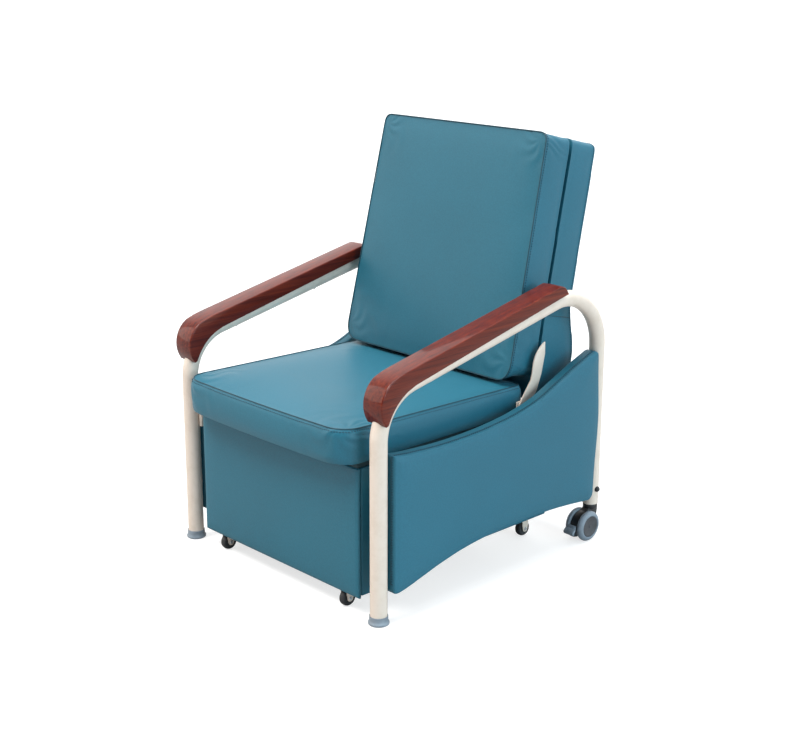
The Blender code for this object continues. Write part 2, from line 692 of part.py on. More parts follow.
def caster_housing(label, side):
    """The hood between the twin wheels, with its stem up inside the post and its axle."""
    centre = caster_centre(side)
    hood = arc((0, 0), 0.0335, 195, 95, 7)
    hood += [(0.004, 0.0405), (0.012, 0.0455), (CASTER_TRAIL + 0.0165, 0.0455), (CASTER_TRAIL + 0.0165, 0.040),
             (CASTER_TRAIL + 0.0135, 0.024), (0.0335, 0.004), (0.030, -0.009)]
    points = [(y - CASTER_TRAIL, z) for y, z in hood]
    swivel = Vector((centre.x, depth(FRAME_DEPTH), 0))
    place = swivel + Vector((0, 0, centre.z))
    housing = as_mesh(plate(f"caster_housing_{label}", BLACK_PLASTIC, points, (-HOUSING_HALF, HOUSING_HALF),
                            location=place))
    stem = rod_tool(f"stem_{label}", swivel + Vector((0, 0, 0.078)), swivel + Vector((0, 0, 0.118)), STEM_R)
    reach = Vector((CASTER_WHEEL_X + CASTER_WHEEL_HALF - 0.003, 0, 0))
    axle = rod_tool(f"axle_{label}", centre - reach, centre + reach, AXLE_R, 12)
    join(housing, stem, "UNION")
    join(housing, axle, "UNION")


def caster_wheel(name, centre, outward):
    """One of the twin wheels: a domed hub disc inside a soft tyre."""
    bore_r = AXLE_R + GAP
    half = CASTER_WHEEL_HALF
    profile = [(bore_r, half - 0.0005), (0.0235, half - 0.0005), (0.0250, half - 0.002), (0.0280, half),
               (0.0345, half - 0.002), (CASTER_R, half - 0.0055), (CASTER_R, -half + 0.005),
               (0.0345, -half), (bore_r, -half)]
    turned(name, GREY_RUBBER, profile, centre + Vector((outward * CASTER_WHEEL_X, 0, 0)),
           (0, outward * math.pi / 2, 0), 24)


def brake_pedal(label, side):
    """A tab ahead of the wheels that is trodden down."""
    centre = caster_centre(side)
    pin_y, pin_z = PEDAL_PIVOT
    shape = [(-0.0085, 0.0060), (-0.0160, 0.0050), (-0.0285, -0.0065), (-0.0262, -0.0155),
             (-0.0222, -0.0160), (-0.0202, -0.0085), (-0.0125, -0.0045)]
    place = centre + Vector((0, pin_y, pin_z))
    plate(f"brake_pedal_{label}", GREY_RUBBER, shape, (-HOUSING_HALF, HOUSING_HALF), location=place)


def rear_caster(label, side):
    caster_housing(label, side)
    brake_pedal(label, side)
    centre = caster_centre(side)
    caster_wheel(f"caster_wheel_{label}_outer", centre, side)
    caster_wheel(f"caster_wheel_{label}_inner", centre, -side)


# --------------------------------------------------------------------------- assembly

def build():
    seat = pivot("seat_slide_origin", (0, 0, 0))
    for label, side in SIDES.items():
        side_tube(label, side)
        foot(label, side)
        bolt_cap(label, side)
        armrest(label, side)
        for end, at in SCREW_DEPTHS.items():
            armrest_screw(label, side, end, at)
        side_panel(label, side)
        rails(label, side)
        rear_caster(label, side)
        runners(label, side, seat)
        fold_hinge(label, side, seat)
    cross_tubes()
    seat_cushion(seat)
    seat_box(seat)
    base_frame(seat)
    small_wheels(seat)
    back_section()
    rear_section()


build()
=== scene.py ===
"""Looks of the patient recliner chair: sewn vinyl cushions, lacquered arms, coated steel and casters."""

import math

import bmesh
import bpy
import numpy as np
from mathutils import Matrix, Quaternion, Vector
from mathutils.bvhtree import BVHTree
from mathutils.kdtree import KDTree


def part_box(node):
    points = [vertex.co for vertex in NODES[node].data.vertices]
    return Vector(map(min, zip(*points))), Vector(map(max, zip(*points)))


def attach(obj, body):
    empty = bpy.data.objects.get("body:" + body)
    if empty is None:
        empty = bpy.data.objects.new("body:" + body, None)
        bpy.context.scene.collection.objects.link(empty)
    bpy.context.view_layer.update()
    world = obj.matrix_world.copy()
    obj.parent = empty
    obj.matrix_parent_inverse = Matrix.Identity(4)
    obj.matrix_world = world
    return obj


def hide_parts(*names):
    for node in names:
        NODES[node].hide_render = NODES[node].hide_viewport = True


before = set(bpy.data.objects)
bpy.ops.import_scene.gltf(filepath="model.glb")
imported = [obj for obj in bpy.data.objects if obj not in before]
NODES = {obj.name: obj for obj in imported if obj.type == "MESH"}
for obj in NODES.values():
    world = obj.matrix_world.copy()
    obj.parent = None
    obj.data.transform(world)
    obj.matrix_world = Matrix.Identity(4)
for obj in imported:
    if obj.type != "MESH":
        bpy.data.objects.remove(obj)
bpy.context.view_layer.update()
SIDES = {"left": 1, "right": -1}


def centre_of(node):
    low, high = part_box(node)
    return (low + high) / 2


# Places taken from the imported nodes
LEG = centre_of("foot_left")
TRACK = LEG.x
POST_Y = centre_of("bolt_cap_left").y
FOLD = centre_of("hinge_pin_left")
RECLINE = centre_of("hinge_tube")
LEAN = math.radians(13)
CLEAR = 0.0005                 # room left inside a CAD box


def depth(distance):
    return LEG.y + distance


# ---- materials

class Finish:
    """A Principled material, with short ways to add the nodes that feed it."""

    def __init__(self, name):
        self.mat = bpy.data.materials.new(name)
        self.mat.use_nodes = True
        self.tree = self.mat.node_tree
        self.shader = self.tree.nodes["Principled BSDF"]

    def node(self, kind, **settings):
        node = self.tree.nodes.new(kind)
        for key, value in settings.items():
            setattr(node, key, value)
        return node

    def join(self, output, socket):
        self.tree.links.new(output, socket)

    def coords(self, scale=(1, 1, 1), rotation=(0, 0, 0)):
        mapping = self.node("ShaderNodeMapping")
        mapping.inputs["Scale"].default_value = scale
        mapping.inputs["Rotation"].default_value = rotation
        self.join(self.node("ShaderNodeTexCoord").outputs["Object"], mapping.inputs["Vector"])
        return mapping.outputs["Vector"]

    def pattern(self, kind, coords, result="Fac", settings=None, **values):
        node = self.node(f"ShaderNodeTex{kind}", **(settings or {}))
        for key, value in values.items():
            node.inputs[key.title()].default_value = value
        self.join(coords, node.inputs["Vector"])
        return node.outputs[result]

    def ramp(self, value, *stops):
        node = self.node("ShaderNodeValToRGB")
        elements = node.color_ramp.elements
        while len(elements) < len(stops):
            elements.new(0.5)
        for element, (at, color) in zip(elements, stops):
            element.position = at
            element.color = (*color, 1)
        self.join(value, node.inputs["Fac"])
        return node.outputs["Color"]

    def remap(self, value, low, high):
        node = self.node("ShaderNodeMapRange")
        node.inputs["To Min"].default_value = low
        node.inputs["To Max"].default_value = high
        self.join(value, node.inputs["Value"])
        return node.outputs["Result"]

    def multiply(self, base, shade, factor):
        node = self.node("ShaderNodeMix", data_type="RGBA", blend_type="MULTIPLY")
        node.inputs["Factor"].default_value = factor
        self.join(base, node.inputs["A"])
        self.join(shade, node.inputs["B"])
        return node.outputs["Result"]

    def bump(self, height, strength, distance, before=None):
        node = self.node("ShaderNodeBump")
        node.inputs["Strength"].default_value = strength
        node.inputs["Distance"].default_value = distance
        self.join(height, node.inputs["Height"])
        if before is not None:
            self.join(before, node.inputs["Normal"])
        return node.outputs["Normal"]

    def set(self, **values):
        """Constant or linked values of the shader's own sockets."""
        for key, value in values.items():
            socket = self.shader.inputs[key.replace("_", " ")]
            if isinstance(value, bpy.types.NodeSocket):
                self.join(value, socket)
            else:
                socket.default_value = value
        return self.mat


def times(color, factor, extra=0.0):
    return [min(1, c * factor + extra) for c in color]


WHITE = (1, 1, 1)


def vinyl(name, color, shade=1.0):
    """Embossed leather-grain vinyl: pebbles, pores between them and slow changes of tone."""
    look = Finish(name)
    coords = look.coords()
    pebbles = look.pattern("Voronoi", coords, "Distance", {"feature": "SMOOTH_F1"}, scale=620.0,
                           randomness=1.0, smoothness=0.6)
    pores = look.pattern("Noise", coords, scale=1500.0, detail=3.0)
    tone = look.pattern("Noise", coords, scale=4.0, detail=3.0, roughness=0.5)
    speck = look.pattern("Noise", coords, scale=330.0, detail=2.0)
    # A shade below 1 darkens the whole colour, which is painted shade
    base = times(color, shade)
    tone_color = look.ramp(tone, (0.32, times(base, 0.95)), (0.5, base), (0.70, times(base, 1.04, 0.001)))
    grain_shade = look.ramp(speck, (0.35, (0.66, 0.70, 0.72)), (0.62, WHITE))
    soft = look.bump(tone, 0.06, 0.004)
    grain = look.bump(pebbles, 0.30, 0.0005, soft)
    return look.set(Base_Color=look.multiply(tone_color, grain_shade, 0.35),
                    Roughness=look.remap(tone, 0.42, 0.52), Specular_IOR_Level=0.40, Sheen_Weight=0.03,
                    Sheen_Roughness=0.45, Normal=look.bump(pores, 0.18, 0.0003, grain))


def lacquered_wood(name):
    """Mahogany under a clear coat, with its grain along the arm and fine open pores."""
    look = Finish(name)
    tilt = (math.radians(-12), 0, 0)
    coords = look.coords((1, 0.022, 1), tilt)
    stretched = look.coords((1, 0.02, 1), tilt)
    figure = look.pattern("Noise", coords, scale=150.0, detail=5.0, roughness=0.55, distortion=0.2)
    pores = look.pattern("Noise", stretched, scale=950.0, detail=2.0)
    bands = look.pattern("Wave", coords, settings={"bands_direction": "X"}, scale=18.0, distortion=3.0,
                         detail=3.0)
    base = look.ramp(figure, (0.28, (0.062, 0.0042, 0.0010)), (0.50, (0.120, 0.0105, 0.0024)),
                     (0.74, (0.185, 0.0215, 0.0048)))
    veins = look.ramp(bands, (0.0, (0.80, 0.77, 0.75)), (0.55, WHITE))
    dark_pores = look.ramp(pores, (0.36, (0.45, 0.40, 0.38)), (0.46, WHITE))
    wood = look.multiply(look.multiply(base, veins, 0.65), dark_pores, 0.55)
    return look.set(Base_Color=wood, Roughness=look.remap(figure, 0.40, 0.55), Coat_Weight=0.60,
                    Coat_Roughness=0.08, Coat_IOR=1.45, Specular_IOR_Level=0.12,
                    Normal=look.bump(figure, 0.06, 0.0015, look.bump(pores, 0.10, 0.0004)))


def coated_steel(name, color, roughness=0.34):
    """Powder coat with a slight orange peel and faint scuffs."""
    look = Finish(name)
    coords = look.coords()
    peel = look.pattern("Noise", coords, scale=700.0, detail=2.0)
    scuff = look.pattern("Noise", coords, scale=34.0, detail=5.0, roughness=0.7)
    dirty = [c * f for c, f in zip(color, (0.93, 0.915, 0.89))]
    return look.set(Base_Color=look.ramp(scuff, (0.30, dirty), (0.55, color)),
                    Roughness=look.remap(scuff, roughness + 0.08, roughness - 0.06), Coat_Weight=0.25,
                    Coat_Roughness=0.12, Normal=look.bump(peel, 0.10, 0.0004))


def bare_metal(name, color=(0.56, 0.56, 0.57)):
    """Zinc-plated steel with drawn streaks."""
    look = Finish(name)
    coords = look.coords((1, 0.12, 1))
    streaks = look.pattern("Noise", coords, scale=900.0, detail=3.0)
    patches = look.pattern("Noise", coords, scale=60.0, detail=3.0)
    return look.set(Base_Color=look.ramp(patches, (0.3, times(color, 0.72)), (0.65, color)), Metallic=0.92,
                    Roughness=look.remap(streaks, 0.24, 0.44), Normal=look.bump(streaks, 0.12, 0.0002))


def moulded(name, color, roughness=0.5, grain=900.0):
    """Moulded rubber or plastic with a spark-eroded texture and dusty patches."""
    look = Finish(name)
    coords = look.coords()
    spark = look.pattern("Noise", coords, scale=grain, detail=3.0, roughness=0.65)
    dust = look.pattern("Noise", coords, scale=45.0, detail=4.0)
    worn, pale = times(color, 0.8), times(color, 1.12, 0.006)
    return look.set(Base_Color=look.ramp(dust, (0.30, worn), (0.5, color), (0.72, pale)),
                    Roughness=look.remap(dust, roughness - 0.07, roughness + 0.09),
                    Normal=look.bump(spark, 0.22, 0.0004))


def lining(name, color):
    """Dark green woven lining stapled over the boards."""
    look = Finish(name)
    coords = look.coords()
    weave = look.node("ShaderNodeMath", operation="MULTIPLY")
    for way, socket in zip("XZ", weave.inputs):
        yarn = {"bands_direction": way}
        threads = look.pattern("Wave", coords, settings=yarn, scale=240.0, distortion=1.2, detail=1.0)
        look.join(threads, socket)
    both = weave.outputs["Value"]
    return look.set(Base_Color=look.ramp(both, (0.0, times(color, 0.6)), (0.6, color)), Roughness=0.8,
                    Normal=look.bump(both, 0.35, 0.0006))


TEAL = (0.013, 0.128, 0.190)
VINYL = vinyl("teal_vinyl", TEAL)
# The welt and seam lines use the teal darkened to 0.40: painted shade of the sewn grooves
WELT_PAINTED_SHADE = vinyl("welt_vinyl_painted_shade", TEAL, 0.40)
THREAD = moulded("sewing_thread", (0.006, 0.040, 0.070), 0.7, 2500.0)
WOOD = lacquered_wood("mahogany_lacquer")
IVORY = coated_steel("ivory_powder_coat", (0.740, 0.620, 0.530))
ZINC = bare_metal("zinc_plate")
BRIGHT = bare_metal("bright_bolt", (0.75, 0.77, 0.80))
GREY_RUBBER = moulded("blue_grey_rubber", (0.215, 0.255, 0.300), 0.46)
HUB_GREY = moulded("dark_grey_plastic", (0.060, 0.060, 0.066), 0.42)
BLACK = moulded("black_plastic", (0.014, 0.014, 0.016), 0.36)
TYRE = moulded("black_tyre", (0.020, 0.020, 0.022), 0.58, 600.0)
LINING = lining("board_lining", (0.018, 0.060, 0.075))


# ---- mesh helpers

def finish_piece(obj, mat, body, node, stands_in=True, sharp=40):
    """Material, smooth shading with creases, the body it rides on and the CAD node it dresses."""
    if mat is not None:
        obj.data.materials.append(mat)
    obj.data.shade_smooth()
    if sharp:
        obj.data.set_sharp_from_angle(angle=math.radians(sharp))
    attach(obj, body)
    if stands_in:
        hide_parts(node)


def in_scene(name, data):
    obj = bpy.data.objects.new(name, data)
    bpy.context.scene.collection.objects.link(obj)
    return obj


def mend(mesh, weld=0.0):
    """Merges points closer than weld and turns every face outward."""
    bm = bmesh.new()
    bm.from_mesh(mesh)
    if weld:
        bmesh.ops.remove_doubles(bm, verts=bm.verts, dist=weld)
    bmesh.ops.recalc_face_normals(bm, faces=bm.faces)
    bm.to_mesh(mesh)
    bm.free()


def mesh_object(name, verts, faces):
    mesh = bpy.data.meshes.new(name)
    mesh.from_pydata([tuple(v) for v in verts], [], faces)
    mend(mesh)
    return in_scene(name, mesh)


def modifier(obj, name, kind, **settings):
    mod = obj.modifiers.new(name, kind)
    for key, value in settings.items():
        setattr(mod, key, value)
    return mod


def round_rims(obj, width, segments):
    modifier(obj, "soft_rims", "BEVEL", width=width, segments=segments, limit_method="ANGLE",
             angle_limit=math.radians(50), harden_normals=False)


def turned(count):
    """Angles evenly round a circle."""
    return [2 * math.pi * k / count for k in range(count)]


def loft(name, rings, caps=True):
    """Skins between rings of points; each ring has the same number of points."""
    count = len(rings[0])
    verts = [p for ring in rings for p in ring]
    faces = []
    for i in range(len(rings) - 1):
        for j in range(count):
            a, b = i * count + j, i * count + (j + 1) % count
            faces.append((a, b, b + count, a + count))
    if caps:
        faces.append(tuple(range(count)))
        last = (len(rings) - 1) * count
        faces.append(tuple(range(last + count - 1, last - 1, -1)))
    return mesh_object(name, verts, faces)


def frames_along(path, closed=False):
    """Tangent, side and up at each point, with no twist between them."""
    pts = [Vector(p) for p in path]
    count = len(pts)
    tangents = []
    for i in range(count):
        a = pts[i - 1] if i or closed else pts[0]
        b = pts[(i + 1) % count] if i < count - 1 or closed else pts[-1]
        tangents.append((b - a).normalized())
    side = tangents[0].orthogonal().normalized()
    out = []
    for i, t in enumerate(tangents):
        if i:
            side = (tangents[i - 1].rotation_difference(t)) @ side
        side = (side - t * side.dot(t)).normalized()
        out.append((t, side, t.cross(side)))
    return pts, out


def rings_along(path, radius, sides, closed=False):
    pts, axes = frames_along(path, closed)
    return [[p + (side * math.cos(a) + up * math.sin(a)) * radius for a in turned(sides)]
            for p, (_, side, up) in zip(pts, axes)]


def tube(name, path, radius, sides=12, closed=False):
    rings = rings_along(path, radius, sides, closed)
    if not closed:
        return loft(name, rings)
    obj = loft(name, rings + rings[:1], caps=False)
    mend(obj.data, 1e-7)
    return obj


AXIS_TURNS = {"Z": Matrix.Identity(3), "X": Matrix.Rotation(math.pi / 2, 3, "Y"),
              "-X": Matrix.Rotation(-math.pi / 2, 3, "Y")}


def lathe(name, profile, steps, centre, axis="Z"):
    """Turns a profile of (radius, height) points; a radius of 0 closes it on the axis."""
    verts, faces, rows = [], [], []
    for r, h in profile:
        if r:
            rows.append(list(range(len(verts), len(verts) + steps)))
            verts += [(r * math.cos(a), r * math.sin(a), h) for a in turned(steps)]
        else:
            rows.append([len(verts)] * steps)
            verts.append((0, 0, h))
    if profile[0][0] and profile[-1][0]:
        rows.append(rows[0])
    for a, b in zip(rows, rows[1:]):
        for k in range(steps):
            quad = [a[k], a[(k + 1) % steps], b[(k + 1) % steps], b[k]]
            quad = [v for i, v in enumerate(quad) if v not in quad[:i]]
            if len(quad) > 2:
                faces.append(tuple(quad))
    return mesh_object(name, [AXIS_TURNS[axis] @ Vector(v) + Vector(centre) for v in verts], faces)


def prism(name, outline, x, half, rounding, segments=2):
    """A flat outline in (y, z), extruded to both sides of x, with rounded rims."""
    verts = [(at, y, z) for at in (x - half, x + half) for y, z in outline]
    n = len(outline)
    faces = [tuple(range(n)), tuple(range(2 * n - 1, n - 1, -1))]
    faces += [(i, (i + 1) % n, n + (i + 1) % n, n + i) for i in range(n)]
    obj = mesh_object(name, verts, faces)
    round_rims(obj, rounding, segments)
    return obj


def evaluated_mesh(obj):
    bpy.context.view_layer.update()
    return bpy.data.meshes.new_from_object(obj.evaluated_get(bpy.context.evaluated_depsgraph_get()))


def apply_modifiers(obj):
    mesh = evaluated_mesh(obj)
    old = obj.data
    obj.modifiers.clear()
    obj.data = mesh
    bpy.data.meshes.remove(old)
    return obj


def paint(obj, mat):
    obj.data.materials.clear()
    obj.data.materials.append(mat)
    return obj


def join_piece(name, body, node, parts, sharp=40):
    """One finished piece from (object, material) parts."""
    bm = bmesh.new()
    mats = []
    for part, mat in parts:
        apply_modifiers(part)
        if mat not in mats:
            mats.append(mat)
        part.data.polygons.foreach_set("material_index", [mats.index(mat)] * len(part.data.polygons))
        bm.from_mesh(part.data)
        bpy.data.objects.remove(part, do_unlink=True)
    mesh = bpy.data.meshes.new(name)
    bm.to_mesh(mesh)
    bm.free()
    for mat in mats:
        mesh.materials.append(mat)
    finish_piece(in_scene(name, mesh), None, body, node, sharp=sharp)


def read_points(mesh, what):
    values = np.empty(len(mesh.vertices) * 3)
    mesh.vertices.foreach_get(what, values)
    return values.reshape(-1, 3)


def coords_of(mesh):
    return read_points(mesh, "co")


def normals_of(mesh):
    return read_points(mesh, "normal")


def set_coords(mesh, co):
    mesh.vertices.foreach_set("co", np.asarray(co, np.float32).ravel())
    mesh.update()


def nearest_to(samples):
    tree = KDTree(len(samples))
    for i, p in enumerate(samples):
        tree.insert(p, i)
    tree.balance()
    return tree


def distances(tree, co):
    return np.array([tree.find(p)[2] for p in co])


def run_length(pts):
    """Length along a line of points up to each of them."""
    return np.r_[0, np.cumsum(np.linalg.norm(np.diff(pts, axis=0), axis=1))]


def resample(path, spacing, closed=True):
    pts = np.array([tuple(p) for p in path], float)
    if closed:
        pts = np.vstack([pts, pts[:1]])
    lengths = run_length(pts)
    count = max(4, int(round(lengths[-1] / spacing)))
    at = np.linspace(0, lengths[-1], count + 1)
    if closed:
        at = at[:-1]
    return np.stack([np.interp(at, lengths, pts[:, k]) for k in range(3)], 1)


def smoothstep(t):
    t = max(0.0, min(1.0, t))
    return t * t * (3 - 2 * t)


def rounded_off(distance, radius):
    """How far a rounded corner falls back at a distance from the edge."""
    return radius - math.sqrt(max(0, radius ** 2 - max(0, radius - distance) ** 2))


def arc_points(centre, radius, start, end, steps):
    angles = [math.radians(start + (end - start) * i / steps) for i in range(steps + 1)]
    return [(centre[0] + radius * math.cos(a), centre[1] + radius * math.sin(a)) for a in angles]


def rounded_outline(corners, radii, steps=8):
    """A polygon whose corners are rounded, counter-clockwise, as (a, b) points."""
    out = []
    n = len(corners)
    for i, (corner, r) in enumerate(zip(corners, radii)):
        c = Vector(corner)
        before = (Vector(corners[i - 1]) - c).normalized()
        after = (Vector(corners[(i + 1) % n]) - c).normalized()
        half = before.angle(after) / 2
        reach = r / math.tan(half)
        centre = c + (before + after).normalized() * r / math.sin(half)
        a = c + before * reach - centre
        b = c + after * reach - centre
        start = math.atan2(a.y, a.x)
        sweep = (math.atan2(b.y, b.x) - start + math.pi) % (2 * math.pi) - math.pi
        out += [(centre.x + r * math.cos(start + sweep * k / steps),
                 centre.y + r * math.sin(start + sweep * k / steps)) for k in range(steps + 1)]
    return out


def inset(outline, distance):
    """Moves a counter-clockwise outline inward by a distance, point by point."""
    pts = [Vector(p) for p in outline]
    out = []
    for i, p in enumerate(pts):
        a, b = pts[i - 1], pts[(i + 1) % len(pts)]
        along = (b - a).normalized()
        out.append(tuple(p + Vector((-along.y, along.x)) * distance))
    return out


# ---- sewing

def surface_of(obj):
    bm = bmesh.new()
    bm.from_mesh(obj.data)
    tree = BVHTree.FromBMesh(bm)
    bm.free()
    return tree


def snap(path, tree):
    """The nearest points of a surface to a path, and the surface's normals there."""
    found = [tree.find_nearest(Vector(p)) for p in path]
    return [hit[0] for hit in found], [hit[1] for hit in found]


def smooth_closed(pts, rounds=2):
    a = np.array([tuple(p) for p in pts], float)
    for _ in range(rounds):
        a = (np.roll(a, 1, 0) + 2 * a + np.roll(a, -1, 0)) / 4
    return a


def seam(name, path, tree, body, node, radius=0.0008):
    """An open seam, a thin line along a surface, in the darker welt vinyl as painted shade of the seam."""
    pts, _ = snap(resample(path, 0.006, False), tree)
    finish_piece(tube(name, pts, radius, 8), WELT_PAINTED_SHADE, body, node, False, 0)


# A stitch as stations along it: share of its length, rise and thickness in thread radii
STITCH = ((0.0, -0.6, 0.35), (0.18, 0.35, 0.9), (0.5, 0.7, 1.0), (0.82, 0.35, 0.9), (1.0, -0.6, 0.35))
STITCH_PERIOD, STITCH_LENGTH, THREAD_RADIUS = 0.0060, 0.0042, 0.00085


def stitches(name, path, tree, body, node, closed=True):
    """A row of short threads that dip into the surface at both ends."""
    pts, normals = snap(resample(path, STITCH_PERIOD / 2, closed), tree)
    verts, faces = [], []
    sides = 6
    for i in range(0, len(pts) - 1, 2):
        a, normal = pts[i], normals[i]
        along = pts[i + 1] - a
        if along.length < 1e-6:
            continue
        along.normalize()
        across = along.cross(normal).normalized()
        start = len(verts)
        for share, rise, thick in STITCH:
            middle = a + along * STITCH_LENGTH * share + normal * (THREAD_RADIUS * rise + 0.0002)
            verts += [middle + (across * math.cos(w) + normal * math.sin(w)) * THREAD_RADIUS * thick
                      for w in turned(sides)]
        for first in range(start, start + 4 * sides, sides):
            for k in range(sides):
                p, q = first + k, first + (k + 1) % sides
                faces.append((p, q, q + sides, p + sides))
        faces.append(tuple(start + k for k in range(sides)))
        faces.append(tuple(start + 4 * sides + k for k in reversed(range(sides))))
    finish_piece(mesh_object(name, verts, faces), THREAD, body, node, False, 0)


def carve(obj, path, width, amount):
    """Presses a soft groove of that width into a surface, along a closed path."""
    co = coords_of(obj.data)
    far = distances(nearest_to(resample(path, 0.002)), co)
    push = amount * np.exp(-(far / width) ** 2)
    set_coords(obj.data, co - normals_of(obj.data) * push[:, None])


# ---- cushions

class Cushion:
    """A sewn cushion: its coarse closed form, the seams that hold it, and how far each side may swell."""

    def __init__(self, name, form, seams, reach, keep_in, world):
        self.name = name
        self.form = form            # coarse closed mesh object, in the cushion's own frame
        self.seams = seams          # closed paths in that frame
        self.reach = reach          # function of (points, normals) giving the furthest move of each
        self.keep_in = keep_in      # function that holds points inside the room there is
        self.world = world          # matrix from the cushion's own frame to the chair's


def remeshed(cushion, voxel):
    modifier(cushion.form, "even_mesh", "REMESH", mode="VOXEL", voxel_size=voxel, use_smooth_shade=True)
    modifier(cushion.form, "soften", "SMOOTH", factor=0.5, iterations=4)
    return apply_modifiers(cushion.form)


def from_seams(cushion, co, spacing):
    """Distance of each point from the cushion's seams."""
    return distances(nearest_to([p for path in cushion.seams for p in resample(path, spacing)]), co)


def swell(cushions, voxel=0.0055, frames=20):
    """Blows the cushions up with cloth simulation, all in one run, holding their seams."""
    starts = []
    for c in cushions:
        obj = remeshed(c, voxel)
        starts.append(coords_of(obj.data))
        group = obj.vertex_groups.new(name="seams")
        for i, far in enumerate(from_seams(c, starts[-1], 0.003)):
            weight = max(0.0, min(1.0, 1.35 - far / voxel))
            if weight > 0:
                group.add([i], weight, "REPLACE")
        cloth = obj.modifiers.new("cover", "CLOTH")
        for key, value in dict(quality=4, mass=0.35, tension_stiffness=30, compression_stiffness=30,
                               shear_stiffness=12, bending_stiffness=4, tension_damping=10, use_pressure=True,
                               uniform_pressure_force=4.0, vertex_group_mass="seams").items():
            setattr(cloth.settings, key, value)
        cloth.settings.effector_weights.gravity = 0
        cloth.collision_settings.use_collision = False
        cloth.point_cache.frame_start, cloth.point_cache.frame_end = 1, frames
    scene = bpy.context.scene
    scene.frame_start, scene.frame_end = 1, frames
    for f in range(1, frames + 1):
        scene.frame_set(f)
    for c, start in zip(cushions, starts):
        blown = evaluated_mesh(c.form)
        moved = coords_of(blown) - start
        c.form.modifiers.clear()
        size = np.linalg.norm(moved, axis=1)
        limit = c.reach(start, normals_of(c.form.data))
        scale = limit * np.tanh(size / np.maximum(limit, 1e-6)) / np.maximum(size, 1e-9)
        set_coords(c.form.data, start + moved * scale[:, None])
        bpy.data.meshes.remove(blown)
    scene.frame_set(1)


def settle(cushion):
    """Smooths the swollen form, subdivides it once and holds it clear of its neighbours."""
    obj = cushion.form
    modifier(obj, "relax", "SMOOTH", factor=0.4, iterations=3)
    modifier(obj, "finer", "SUBSURF", levels=1, render_levels=1)
    apply_modifiers(obj)
    for path in cushion.seams:
        pinch(obj, path, 0.0075)
    set_coords(obj.data, cushion.keep_in(coords_of(obj.data)))


def pinch(obj, path, width):
    """Draws the cover out to its sewn edge."""
    tree = nearest_to(resample(path, 0.0015))
    co = coords_of(obj.data)
    for i, p in enumerate(co):
        at, _, far = tree.find(p)
        if far < width * 2.2:
            co[i] += (np.array(at) - p) * 0.92 * math.exp(-(far / width) ** 2)
    set_coords(obj.data, co)


def ripple(obj, sources, amount):
    """Faint creases that run out from pulled corners."""
    co, normals = coords_of(obj.data), normals_of(obj.data)
    push = np.zeros(len(co))
    for (point, reach, count, phase) in sources:
        rel = co - np.array(point)
        dist = np.linalg.norm(rel, axis=1)
        angle = np.arctan2(rel[:, 2] + rel[:, 1] * 0.3, rel[:, 0])
        wave = np.sin(angle * count + phase + 2.0 * np.sin(dist * 70 + phase))
        push += wave * np.exp(-(dist / reach) ** 2) * (1 - np.exp(-(dist / (reach * 0.25)) ** 2))
    set_coords(obj.data, co + normals * (push * amount)[:, None])


# Seat cushion, in the chair's frame

SEAT_LOW, SEAT_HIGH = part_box("seat_cushion")
SEAT_BOTTOM = SEAT_LOW.z


def seat_seam_z(y):
    return 0.425 - 0.02 * (y - LEG.y - 0.3)


def seat_outline():
    side, front, rear = SEAT_HIGH.x - CLEAR, SEAT_LOW.y, SEAT_HIGH.y
    r, bow, rear_r = 0.060, 0.005, 0.020
    pts = arc_points((-side + r, front + r + bow), r, 180, 266, 10)
    pts += [(x, front + bow * (x / (side - r)) ** 2) for x in np.linspace(-0.18, 0.18, 13)]
    pts += arc_points((side - r, front + r + bow), r, 274, 360, 10)
    pts += arc_points((side - rear_r, rear - rear_r), rear_r, 0, 90, 6)
    pts += arc_points((-side + rear_r, rear - rear_r), rear_r, 90, 180, 6)
    return pts


def seat_cushion():
    outline = seat_outline()

    def level(off, height):
        return [(x, y, SEAT_BOTTOM + height) for x, y in inset(outline, off)]

    def along_seam(off, height):
        return [(x, y, seat_seam_z(y) + height) for x, y in inset(outline, off)]

    seam_inset = 0.0085
    rings = [level(0.014, 0), level(0.006, 0.0015), level(0.0025, 0.010), level(0.0015, 0.035),
             along_seam(0.0012, -0.012), along_seam(0.0040, -0.004), along_seam(seam_inset, 0),
             along_seam(0.014, 0.0010)]
    form = loft("seat_cushion_cover", rings)
    top, low = along_seam(seam_inset, 0.0004), level(0.0060, 0.0015)

    def reach(co, n):
        up = np.clip(n[:, 2], 0, 1)
        flat = 1 - np.abs(n[:, 2])
        dip = 1 - 0.25 * np.exp(-((co[:, 0]) / 0.16) ** 2 - ((co[:, 1] - depth(0.25)) / 0.16) ** 2)
        return 0.0125 * up * dip + 0.0035 * np.clip(flat, 0, 1) + 0.0004

    def keep_in(co):
        co[:, 2] = np.maximum(co[:, 2], SEAT_BOTTOM)
        return co

    return Cushion("seat", form, [top, low], reach, keep_in, Matrix.Identity(4))


# Back cushions, in frames that lean with them: x across, y from front to rear, z up the face

TAPER = 0.0286 / 0.3           # share of its width that a back loses over each metre of its height
BOARD_GAP = 0.0006             # the cover stops this far inside the board's rear face
HEEL_TOP, HEEL_REACH = 0.300, 0.150


def leaning(at):
    return Matrix.Translation((0, at.y, at.z)) @ Matrix.Rotation(-LEAN, 4, "X")


def node_span(node, matrix):
    """Lowest and highest corner of a CAD node in a leaning frame."""
    co = coords_of(NODES[node].data)
    inv = np.array(matrix.inverted())
    local = co @ inv[:3, :3].T + inv[:3, 3]
    return local.min(0), local.max(0)


